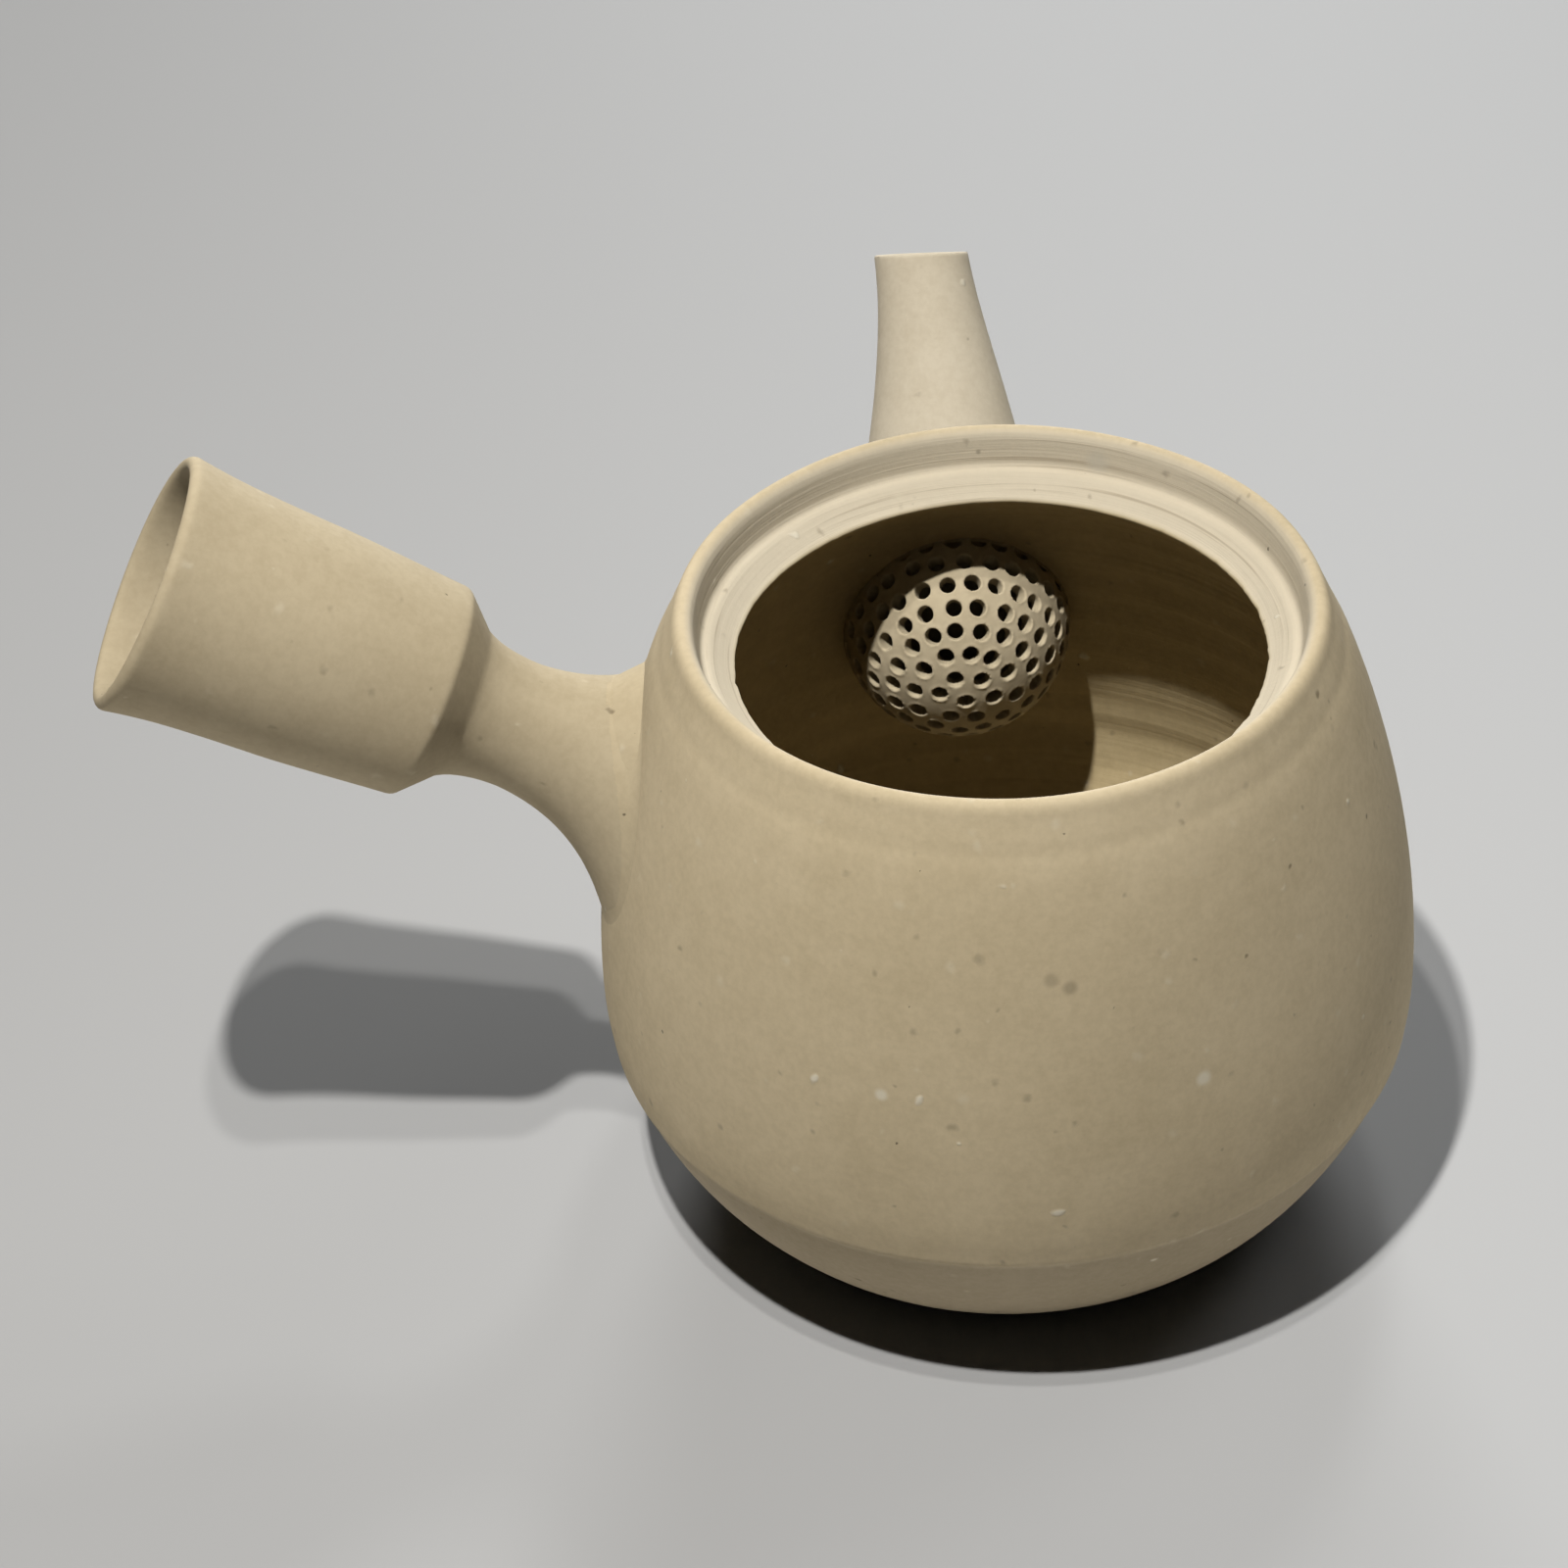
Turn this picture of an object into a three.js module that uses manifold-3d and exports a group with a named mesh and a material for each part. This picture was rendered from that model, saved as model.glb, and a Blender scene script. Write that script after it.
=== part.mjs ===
// A side-handled clay teapot for steeping green tea, shown with its lid off.
// It is thrown in four pieces, a pot, a handle, a spout and a ball strainer, and these are
// luted together with soft clay before firing. Millimetres, +Z up, origin at the centre of
// the foot, with the spout along +Y and the handle to the left of it.
import * as THREE from "three";
import { mergeVertices } from "three/addons/utils/BufferGeometryUtils.js";
import Module from "manifold-3d";

const wasm = await Module();
wasm.setup();

// Pot, as radii and heights of its thrown outline
const FOOT_RADIUS = 31.6;
const FOOT_EDGE = 0.5;
const TRIM_RADIUS = 45.4;
const TRIM_HEIGHT = 21.5;
const BELLY_RADIUS = 46;
const BELLY_HEIGHT = 27;
const COLLAR_RADIUS = 37;
const COLLAR_HEIGHT = 70.6;
const RIM_RADIUS = 36;
const RIM_HEIGHT = 75.2;
const RIM_THICKNESS = 2.7;
const WALL = 3;
const FLOOR = 4.4;
const TRIM_FULLNESS = 5.3;

// Seat for a lid, inside the rim
const SEAT_OUTER_RADIUS = 31.8;
const SEAT_DEPTH = 4.3;
const SEAT_FLAT = 1.2;
const MOUTH_RADIUS = 28.6;
const SEAT_DROP = 1.7;
const SEAT_EDGE = 1.1;
const SEAT_UNDERSIDE = 8;

// Handle, by distance along its axis from where that meets the pot's wall
const HANDLE_TURN = THREE.MathUtils.degToRad(174.3);
const HANDLE_RISE = THREE.MathUtils.degToRad(28.6);
const HANDLE_HEIGHT = 32.1;
const HANDLE_LENGTH = 56.2;
const HANDLE_LIP = 0.8;
const GRIP_REACH = 22.6;
const GRIP_END_RADIUS = 14.4;
const GRIP_FLARE = 9;
const GRIP_WAIST_RADIUS = 13.2;
const GRIP_START_RADIUS = 12.1;
const GRIP_CHAMFER = 4.4;
const GRIP_SWELL = 6;
const GRIP_WALL = 2;
const GRIP_THROAT = 3;
const NECK_RADIUS = 7.15;
const NECK_REACH = 12.2;
const NECK_ROOT_RADIUS = 11;
const NECK_ROOT_DEPTH = 4;
const NECK_SWEEP = 4.5;
const NECK_WALL = 2.2;

// Spout, by distance along its axis from the strainer's centre
const SPOUT_RISE = THREE.MathUtils.degToRad(50);
const SPOUT_TURN = THREE.MathUtils.degToRad(88.7);
const SPOUT_LENGTH = 44;
const SPOUT_TIP_RADIUS = 5.4;
const SPOUT_MIDDLE_RADIUS = 7.9;
const SPOUT_ROOT_RADIUS = 14.5;
const SPOUT_WALL = 1.7;
const SPOUT_ROOT_DEPTH = 9;
const SPOUT_SWEEP = 9;
const SPOUT_CUT_TURN = THREE.MathUtils.degToRad(84);
const SPOUT_CUT_RISE = THREE.MathUtils.degToRad(60);
const SPOUT_TIP_FLARE = 0.15;

// Ball strainer, a pierced dome on the inside of the wall over the spout's outlet
const STRAINER_RADIUS = 13.5;
const STRAINER_WALL = 1.6;
const STRAINER_HEIGHT = 43.5;
const STRAINER_INSET = 0.3;
const STRAINER_PIERCING = 1.9;
const PIERCING_RING_STEP = THREE.MathUtils.degToRad(12.4);
const PIERCING_COUNTS = [1, 5, 10, 16, 21, 24, 26, 26];
const PIERCING_PHASES = [0, 20, 28, 16, 4, 0, 5, 12].map(THREE.MathUtils.degToRad);
const OUTLET_RADIUS = 11.4;

// Luting clay, pressed into the corners where the pieces meet
const HANDLE_CLAY_SPREAD = 3.2;
const HANDLE_CLAY_HEIGHT = 6.4;
const HANDLE_CLAY_EDGE = 0.5;
const SPOUT_CLAY_SPREAD = 2.4;
const SPOUT_CLAY_HEIGHT = 3.2;
const STRAINER_CLAY_SPREAD = 1.5;
const STRAINER_CLAY_HEIGHT = 1.3;

const CLEARANCE = 0.3;
const POT_FACETS = 56;
const TUBE_FACETS = 28;
const DOME_FACETS = 24;
const PIERCING_FACETS = 6;
const CURVE_STEPS = 6;

const { lerp: mix } = THREE.MathUtils;

const clay = (color) => new THREE.MeshStandardMaterial({ color, roughness: 0.85, metalness: 0 });

// A closed mesh as a solid that can be cut and joined.
function solidOf(geometry) {
  const bare = geometry.clone();
  bare.deleteAttribute("normal");
  bare.deleteAttribute("uv");
  const merged = mergeVertices(bare, 1e-4);
  const corners = merged.index.array;
  const triVerts = [];
  for (let i = 0; i < corners.length; i += 3) {
    const [a, b, c] = corners.slice(i, i + 3);
    if (a !== b && b !== c && c !== a) triVerts.push(a, b, c);
  }
  return new wasm.Manifold(
    new wasm.Mesh({
      numProp: 3,
      vertProperties: merged.attributes.position.array,
      triVerts: new Uint32Array(triVerts),
    }),
  );
}

function meshOf(name, solid, material) {
  const { vertProperties, triVerts } = solid.getMesh();
  const geometry = new THREE.BufferGeometry();
  geometry.setAttribute("position", new THREE.BufferAttribute(vertProperties, 3));
  geometry.setIndex(new THREE.BufferAttribute(triVerts, 1));
  geometry.computeVertexNormals();
  const mesh = new THREE.Mesh(geometry, material);
  mesh.name = name;
  return mesh;
}

// Spins a closed outline of (radius, height) points round the Z axis.
function spun(outline, facets, frame = new THREE.Matrix4()) {
  const inOrder = THREE.ShapeUtils.area(outline) > 0 ? outline : [...outline].reverse();
  const first = inOrder[0];
  const last = inOrder[inOrder.length - 1];
  const closed = first.x === 0 && last.x === 0 ? inOrder : [...inOrder, first.clone()];
  const geometry = new THREE.LatheGeometry(closed, facets);
  geometry.rotateX(Math.PI / 2);
  geometry.applyMatrix4(frame);
  return solidOf(geometry);
}

// The frame of a turned piece: its Z axis starts at origin and points by turn and rise.
function axisFrame(origin, turn, rise) {
  const along = new THREE.Vector3(
    Math.cos(turn) * Math.cos(rise),
    Math.sin(turn) * Math.cos(rise),
    Math.sin(rise),
  );
  const across = new THREE.Vector3(-Math.sin(turn), Math.cos(turn), 0);
  const up = new THREE.Vector3().crossVectors(along, across);
  return new THREE.Matrix4().makeBasis(up.negate(), across, along).setPosition(origin);
}

// Moves each point of an open outline sideways, to its right, by a distance.
function offset(points, distance) {
  return points.map((point, i) => {
    const before = points[Math.max(i - 1, 0)];
    const after = points[Math.min(i + 1, points.length - 1)];
    const run = after.clone().sub(before).normalize();
    return new THREE.Vector2(point.x + run.y * distance, point.y - run.x * distance);
  });
}

// The outside of the pot from the foot's edge to the start of the rim's round top.
function potOutline() {
  const path = new THREE.Path();
  path.moveTo(FOOT_RADIUS - FOOT_EDGE, 0);
  path.lineTo(FOOT_RADIUS, FOOT_EDGE);
  path.quadraticCurveTo(
    mix(FOOT_RADIUS, TRIM_RADIUS, 0.5) + TRIM_FULLNESS,
    TRIM_HEIGHT * 0.56,
    TRIM_RADIUS,
    TRIM_HEIGHT,
  );
  path.bezierCurveTo(
    TRIM_RADIUS + (BELLY_RADIUS - TRIM_RADIUS) * 0.6,
    TRIM_HEIGHT + (BELLY_HEIGHT - TRIM_HEIGHT) * 0.28,
    BELLY_RADIUS,
    TRIM_HEIGHT + (BELLY_HEIGHT - TRIM_HEIGHT) * 0.6,
    BELLY_RADIUS,
    BELLY_HEIGHT,
  );
  const rise = COLLAR_HEIGHT - BELLY_HEIGHT;
  path.bezierCurveTo(
    BELLY_RADIUS,
    BELLY_HEIGHT + rise * 0.32,
    COLLAR_RADIUS + (BELLY_RADIUS - COLLAR_RADIUS) * 0.58,
    BELLY_HEIGHT + rise * 0.73,
    COLLAR_RADIUS,
    COLLAR_HEIGHT,
  );
  path.lineTo(RIM_RADIUS, RIM_HEIGHT - RIM_THICKNESS * 0.45);
  return path.getPoints(CURVE_STEPS);
}

// The round top of the rim, from the outside over to the lid's seat.
function rimOutline() {
  const half = RIM_THICKNESS / 2;
  const path = new THREE.Path();
  path.moveTo(RIM_RADIUS, RIM_HEIGHT - RIM_THICKNESS * 0.45);
  path.bezierCurveTo(
    RIM_RADIUS - half * 0.15,
    RIM_HEIGHT - half * 0.25,
    RIM_RADIUS - half * 0.6,
    RIM_HEIGHT,
    RIM_RADIUS - half * 1.05,
    RIM_HEIGHT,
  );
  path.bezierCurveTo(
    RIM_RADIUS - half * 1.5,
    RIM_HEIGHT,
    RIM_RADIUS - RIM_THICKNESS,
    RIM_HEIGHT - half * 0.3,
    RIM_RADIUS - RIM_THICKNESS - 0.1,
    RIM_HEIGHT - half,
  );
  return path.getPoints(3).slice(1);
}

// The inside of the pot, from the rim down over the lid's seat to the middle of the floor.
function potInside() {
  const seatHeight = RIM_HEIGHT - SEAT_DEPTH;
  const innerBelly = BELLY_RADIUS - WALL;
  const path = new THREE.Path();
  path.moveTo(SEAT_OUTER_RADIUS + 0.3, seatHeight + 0.5);
  path.lineTo(SEAT_OUTER_RADIUS, seatHeight);
  path.lineTo(SEAT_OUTER_RADIUS - SEAT_FLAT, seatHeight);
  path.lineTo(MOUTH_RADIUS, seatHeight - SEAT_DROP);
  path.lineTo(MOUTH_RADIUS + 0.1, seatHeight - SEAT_DROP - SEAT_EDGE);
  path.quadraticCurveTo(
    COLLAR_RADIUS - WALL * 1.2,
    seatHeight - SEAT_DROP - SEAT_EDGE - 1,
    COLLAR_RADIUS - WALL * 0.3,
    COLLAR_HEIGHT - SEAT_UNDERSIDE,
  );
  path.bezierCurveTo(
    COLLAR_RADIUS + WALL * 0.8,
    BELLY_HEIGHT + (COLLAR_HEIGHT - BELLY_HEIGHT) * 0.68,
    innerBelly,
    BELLY_HEIGHT + (COLLAR_HEIGHT - BELLY_HEIGHT) * 0.31,
    innerBelly,
    BELLY_HEIGHT,
  );
  path.bezierCurveTo(
    innerBelly,
    TRIM_HEIGHT * 0.8,
    FOOT_RADIUS + WALL * 0.8,
    FLOOR + WALL * 0.6,
    FOOT_RADIUS - WALL * 3.2,
    FLOOR + 0.1,
  );
  path.lineTo(0, FLOOR);
  return path.getPoints(CURVE_STEPS - 1);
}

function potSolid() {
  const outline = [new THREE.Vector2(0, 0), ...potOutline(), ...rimOutline(), ...potInside()];
  return spun(outline, POT_FACETS);
}

// How far a line runs from a point inside the pot, level with the axis, until it meets the
// outer face.
function wallReach(radius, height, rise) {
  const start = new THREE.Vector2(radius, height);
  const run = new THREE.Vector2(Math.cos(rise), Math.sin(rise));
  const wall = potOutline();
  for (let i = 1; i < wall.length; i += 1) {
    const low = wall[i - 1].clone().sub(start);
    const high = wall[i].clone().sub(start);
    const lowSide = run.cross(low);
    const highSide = run.cross(high);
    if (lowSide <= 0 && highSide > 0) {
      return low.lerp(high, lowSide / (lowSide - highSide)).dot(run);
    }
  }
  return BELLY_RADIUS - radius;
}

// Everything within the pot's outer face, grown by a distance.
function potBulk(distance) {
  const wall = offset(potOutline(), distance);
  const top = new THREE.Vector2(0, RIM_HEIGHT);
  const rim = new THREE.Vector2(RIM_RADIUS + distance, RIM_HEIGHT);
  const foot = new THREE.Vector2(0, -distance);
  return spun([foot, ...wall, rim, top], POT_FACETS);
}

// Everything within the pot's inner wall, shrunk by a distance.
function potHollow(distance) {
  const wall = offset(potInside().slice(4), distance);
  wall[wall.length - 1].x = 0;
  return spun([new THREE.Vector2(0, wall[0].y), ...wall], POT_FACETS);
}

const handleWall = wallReach(0, HANDLE_HEIGHT, HANDLE_RISE);
const neckPlace = handleWall + NECK_REACH;
const gripStart = handleWall + GRIP_REACH;
const handleEnd = handleWall + HANDLE_LENGTH;
const rootPlace = handleWall - NECK_ROOT_DEPTH;

// The handle's outside: a flared hollow grip on a narrow neck that spreads at the root.
function handleOutline() {
  const path = new THREE.Path();
  const gripMiddle = mix(gripStart, handleEnd, 0.5);
  path.moveTo(NECK_ROOT_RADIUS, rootPlace);
  path.bezierCurveTo(
    mix(NECK_RADIUS, NECK_ROOT_RADIUS, 0.41),
    rootPlace + NECK_SWEEP,
    NECK_RADIUS,
    neckPlace - NECK_SWEEP,
    NECK_RADIUS,
    neckPlace,
  );
  path.bezierCurveTo(
    NECK_RADIUS,
    mix(neckPlace, gripStart - GRIP_CHAMFER, 0.6),
    mix(NECK_RADIUS, GRIP_START_RADIUS, 0.1),
    mix(neckPlace, gripStart - GRIP_CHAMFER, 0.9),
    mix(NECK_RADIUS, GRIP_START_RADIUS, 0.25),
    gripStart - GRIP_CHAMFER,
  );
  path.lineTo(GRIP_START_RADIUS - HANDLE_LIP / 2, gripStart - HANDLE_LIP);
  path.lineTo(GRIP_START_RADIUS, gripStart);
  path.quadraticCurveTo(
    mix(GRIP_START_RADIUS, GRIP_WAIST_RADIUS, 0.8),
    gripMiddle - GRIP_SWELL,
    GRIP_WAIST_RADIUS,
    gripMiddle,
  );
  path.quadraticCurveTo(
    mix(GRIP_WAIST_RADIUS, GRIP_END_RADIUS, 0.25),
    handleEnd - GRIP_FLARE,
    GRIP_END_RADIUS,
    handleEnd - HANDLE_LIP,
  );
  return path.getPoints(CURVE_STEPS);
}

// The handle's hollow, from its open end to the root.
function handleInside() {
  const path = new THREE.Path();
  const neckBore = NECK_RADIUS - NECK_WALL;
  path.moveTo(GRIP_END_RADIUS - HANDLE_LIP * 0.6, handleEnd);
  path.lineTo(GRIP_END_RADIUS - HANDLE_LIP * 1.5, handleEnd - HANDLE_LIP / 4);
  path.lineTo(GRIP_WAIST_RADIUS - GRIP_WALL * 0.8, handleEnd - GRIP_FLARE);
  path.lineTo(GRIP_START_RADIUS - GRIP_WALL, gripStart + GRIP_THROAT);
  path.quadraticCurveTo(
    neckBore + NECK_WALL / 2,
    gripStart - GRIP_THROAT / 3,
    neckBore,
    mix(neckPlace, gripStart, 0.35),
  );
  path.lineTo(neckBore, neckPlace - NECK_SWEEP);
  path.lineTo(NECK_ROOT_RADIUS - NECK_WALL * 2, rootPlace);
  return path.getPoints(CURVE_STEPS);
}

const handleFrame = axisFrame(new THREE.Vector3(0, 0, HANDLE_HEIGHT), HANDLE_TURN, HANDLE_RISE);

function handleSolid() {
  return spun([...handleOutline(), ...handleInside()], TUBE_FACETS, handleFrame).subtract(
    potBulk(CLEARANCE),
  );
}

// Everything within the handle's outside, grown by a distance.
function handleBulk(distance) {
  const outside = offset(handleOutline(), distance);
  const root = outside[0].clone().setX(0);
  const end = outside[outside.length - 1].clone().setX(0);
  return spun([root, ...outside, end], TUBE_FACETS, handleFrame);
}

const strainerReach = wallReach(0, STRAINER_HEIGHT, 0) - WALL - STRAINER_INSET;
const strainerCentre = new THREE.Vector3(0, strainerReach, STRAINER_HEIGHT);
const spoutFrame = axisFrame(strainerCentre, SPOUT_TURN, SPOUT_RISE);

function spoutOutline(inset = 0) {
  const path = new THREE.Path();
  const middle = SPOUT_LENGTH * 0.62;
  path.moveTo(SPOUT_ROOT_RADIUS - inset, -SPOUT_ROOT_DEPTH);
  path.bezierCurveTo(
    mix(SPOUT_ROOT_RADIUS, SPOUT_MIDDLE_RADIUS, 0.15) - inset,
    SPOUT_SWEEP * 0.67,
    mix(SPOUT_ROOT_RADIUS, SPOUT_MIDDLE_RADIUS, 0.67) - inset,
    middle - SPOUT_SWEEP,
    SPOUT_MIDDLE_RADIUS - inset,
    middle,
  );
  path.bezierCurveTo(
    mix(SPOUT_MIDDLE_RADIUS, SPOUT_TIP_RADIUS, 0.52) - inset,
    middle + SPOUT_SWEEP * 0.6,
    SPOUT_TIP_RADIUS + SPOUT_TIP_FLARE - inset,
    SPOUT_LENGTH - SPOUT_SWEEP * 0.55,
    SPOUT_TIP_RADIUS + SPOUT_TIP_FLARE - inset,
    SPOUT_LENGTH + SPOUT_TIP_RADIUS,
  );
  return path.getPoints(CURVE_STEPS);
}

function closedSpin(outside, facets, frame) {
  const start = outside[0].clone().setX(0);
  const end = outside[outside.length - 1].clone().setX(0);
  return spun([start, ...outside, end], facets, frame);
}

// The space above the slanting cut that trims the spout's tip, made by hand, a little askew.
function tipWaste() {
  const size = 6 * SPOUT_TIP_RADIUS;
  const block = new THREE.BoxGeometry(size, size, size);
  block.translate(0, 0, size / 2);
  const tip = new THREE.Vector3(0, 0, SPOUT_LENGTH).applyMatrix4(spoutFrame);
  block.applyMatrix4(axisFrame(tip, SPOUT_CUT_TURN, SPOUT_CUT_RISE));
  return solidOf(block);
}

function spoutSolid() {
  const outer = closedSpin(spoutOutline(), TUBE_FACETS, spoutFrame);
  const bore = closedSpin(spoutOutline(SPOUT_WALL), TUBE_FACETS, spoutFrame);
  return outer.subtract(bore).subtract(tipWaste()).subtract(potBulk(CLEARANCE));
}

// A round bar along the pot's radius at the spout, used to cut and to lute.
const outletFrame = axisFrame(strainerCentre, Math.PI / 2, 0);

function outletCut() {
  const bar = new THREE.CylinderGeometry(OUTLET_RADIUS, OUTLET_RADIUS, 4 * WALL, TUBE_FACETS);
  bar.rotateX(Math.PI / 2);
  bar.applyMatrix4(outletFrame);
  return solidOf(bar);
}

// A ball's outline from pole to pole.
function ballOutline(radius) {
  const arc = new THREE.Path();
  arc.absarc(0, 0, radius, -Math.PI / 2, Math.PI / 2, false);
  const points = arc.getPoints(DOME_FACETS / 2);
  points[0].x = 0;
  points[points.length - 1].x = 0;
  return points;
}

// The piercings stand in rings round the dome's pole, each ring with its own count and start.
function piercings() {
  let bars = null;
  PIERCING_COUNTS.forEach((count, ring) => {
    const polar = ring * PIERCING_RING_STEP;
    for (let i = 0; i < count; i += 1) {
      const turn = PIERCING_PHASES[ring] + (i / count) * 2 * Math.PI;
      const bar = new THREE.CylinderGeometry(
        STRAINER_PIERCING / 2,
        STRAINER_PIERCING / 2,
        4 * STRAINER_WALL,
        PIERCING_FACETS,
      );
      bar.rotateX(Math.PI / 2);
      bar.translate(0, 0, STRAINER_RADIUS - STRAINER_WALL / 2);
      bar.rotateX(-polar);
      bar.rotateZ(turn);
      bar.applyMatrix4(domeFrame);
      const cut = solidOf(bar);
      bars = bars ? bars.add(cut) : cut;
    }
  });
  return bars;
}

// The dome's pole points at the pot's axis.
const domeFrame = axisFrame(strainerCentre, -Math.PI / 2, 0);

function strainerSolid() {
  const outer = spun(ballOutline(STRAINER_RADIUS), DOME_FACETS, domeFrame);
  const inner = spun(ballOutline(STRAINER_RADIUS - STRAINER_WALL), DOME_FACETS, domeFrame);
  return outer.subtract(inner).intersect(potHollow(CLEARANCE)).subtract(piercings());
}

// Luting clay at the handle's root: it thickens from a thin edge on the neck to the wall.
function neckClay() {
  const edge = handleWall + HANDLE_CLAY_HEIGHT;
  const neck = new THREE.SplineCurve(handleOutline()).getPoints(8 * CURVE_STEPS);
  const held = neck.filter((point) => point.y < edge);
  const thick = held.map((point) => {
    const share = (edge - point.y) / (edge - rootPlace);
    const grown = CLEARANCE + HANDLE_CLAY_EDGE + HANDLE_CLAY_SPREAD * share ** 1.5;
    return new THREE.Vector2(point.x + grown, point.y);
  });
  const below = thick[0].clone().setY(rootPlace - 4 * WALL);
  const inner = offset(handleOutline(), CLEARANCE);
  const deep = inner[0].clone().setY(rootPlace - 4 * WALL);
  return closedSpin([below, ...thick], TUBE_FACETS, handleFrame)
    .subtract(closedSpin([deep, ...inner], TUBE_FACETS, handleFrame))
    .subtract(potBulk(CLEARANCE));
}

// Luting clay round a root: a collar on the pot's wall with a narrower one over it.
function rootClay(outline, frame, spread, height) {
  const grown = (distance) => {
    const around = offset(outline, distance);
    const below = around[0].clone().setY(outline[0].y - 4 * WALL);
    return closedSpin([below, ...around], TUBE_FACETS, frame);
  };
  const low = grown(spread).intersect(potBulk(height * 0.45));
  const high = grown(spread * 0.6).intersect(potBulk(height));
  return low.add(high).subtract(grown(CLEARANCE)).subtract(potBulk(CLEARANCE));
}

function strainerClay() {
  const outer = spun(ballOutline(STRAINER_RADIUS + STRAINER_CLAY_SPREAD), DOME_FACETS, domeFrame);
  const held = spun(ballOutline(STRAINER_RADIUS + CLEARANCE), DOME_FACETS, domeFrame);
  const room = potHollow(CLEARANCE).subtract(potHollow(CLEARANCE + STRAINER_CLAY_HEIGHT));
  return outer.subtract(held).intersect(room);
}

const pot = new THREE.Group();
const bodyClay = clay(0xb9ab8c);
const lutingClay = clay(0xad9f80);

pot.add(meshOf("pot_body", potSolid().subtract(outletCut()), bodyClay));
pot.add(meshOf("handle", handleSolid(), clay(0xbdae8e)));
pot.add(meshOf("spout", spoutSolid(), clay(0xc0b292)));
pot.add(meshOf("ball_strainer", strainerSolid(), clay(0xb5a88a)));
pot.add(meshOf("handle_joint_clay", neckClay(), lutingClay));
pot.add(
  meshOf(
    "spout_joint_clay",
    rootClay(spoutOutline(), spoutFrame, SPOUT_CLAY_SPREAD, SPOUT_CLAY_HEIGHT),
    lutingClay,
  ),
);
pot.add(meshOf("strainer_joint_clay", strainerClay(), lutingClay));

export default pot;
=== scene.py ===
"""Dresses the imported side-handled clay teapot: its thrown shapes, its unglazed clay and the studio round it.

Sizes are in millimetres in the classes and are scaled to metres when a mesh is finished.
"""
import logging
import math
import random
from bisect import bisect_left
from collections.abc import Callable
from dataclasses import dataclass, field
from enum import Enum

import bmesh
import bpy
from mathutils import Matrix, Quaternion, Vector, noise
from mathutils.geometry import interpolate_bezier


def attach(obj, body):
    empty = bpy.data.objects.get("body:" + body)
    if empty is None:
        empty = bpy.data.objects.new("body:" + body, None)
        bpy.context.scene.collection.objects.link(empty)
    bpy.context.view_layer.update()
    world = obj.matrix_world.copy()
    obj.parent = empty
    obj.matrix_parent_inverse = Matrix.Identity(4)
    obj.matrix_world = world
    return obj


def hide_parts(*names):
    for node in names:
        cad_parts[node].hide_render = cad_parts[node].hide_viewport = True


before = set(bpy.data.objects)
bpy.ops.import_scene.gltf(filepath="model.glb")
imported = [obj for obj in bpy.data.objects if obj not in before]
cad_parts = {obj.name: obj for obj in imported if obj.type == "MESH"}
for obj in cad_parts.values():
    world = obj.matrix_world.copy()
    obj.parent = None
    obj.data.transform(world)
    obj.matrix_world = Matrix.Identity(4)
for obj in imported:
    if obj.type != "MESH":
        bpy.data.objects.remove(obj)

log = logging.getLogger("teapot")
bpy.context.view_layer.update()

MM = 0.001
UP = Vector((0, 0, 1))
Socket = bpy.types.NodeSocket


class Clay(Enum):
    """The record's material slots."""

    BODY = "body_clay"
    HANDLE = "handle_clay"
    SPOUT = "spout_clay"
    STRAINER = "strainer_clay"
    LUTING = "luting_clay"


class Outline:
    """A drawn section of a turned piece, as (radius, place along the axis) points."""

    def __init__(self, radius: float, place: float) -> None:
        """Starts the section at one point."""
        self.points: list[Vector] = [Vector((radius, 0, place))]

    def line(self, radius: float, place: float, steps: int = 1) -> "Outline":
        """Draws a straight run in equal steps."""
        start, end = self.points[-1].copy(), Vector((radius, 0, place))
        self.points += [start.lerp(end, i / steps) for i in range(1, steps + 1)]
        return self

    def curve(
        self,
        leave: tuple[float, float],
        arrive: tuple[float, float],
        end: tuple[float, float],
        steps: int,
    ) -> "Outline":
        """Draws a curve.

        Args:
            leave: The handle that the curve leaves its start towards.
            arrive: The handle that it comes to its end from.
            end: Where it ends.
            steps: How many steps it is drawn in.
        """
        knots = [Vector((r, 0, z)) for r, z in (leave, arrive, end)]
        drawn = interpolate_bezier(self.points[-1], knots[0], knots[1], knots[2], steps + 1)
        self.points += [point.copy() for point in drawn[1:]]
        return self

    def radius_at(self, place: float) -> float:
        """The section's radius at a place, for a section that only goes up."""
        places = [point.z for point in self.points]
        i = min(max(bisect_left(places, place), 1), len(places) - 1)
        low, high = self.points[i - 1], self.points[i]
        return low.x + (high.x - low.x) * (place - low.z) / max(high.z - low.z, 1e-6)


def pointing(turn: float, rise: float) -> Vector:
    """The direction with a turn from +X towards +Y and a rise, both in degrees."""
    turn, rise = math.radians(turn), math.radians(rise)
    return Vector((math.cos(turn) * math.cos(rise), math.sin(turn) * math.cos(rise), math.sin(rise)))


def turning_frame(origin: Vector, along: Vector) -> Matrix:
    """The matrix that stands a piece turned about Z on an origin, pointing along a direction."""
    return Matrix.Translation(origin) @ UP.rotation_difference(along).to_matrix().to_4x4()


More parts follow.
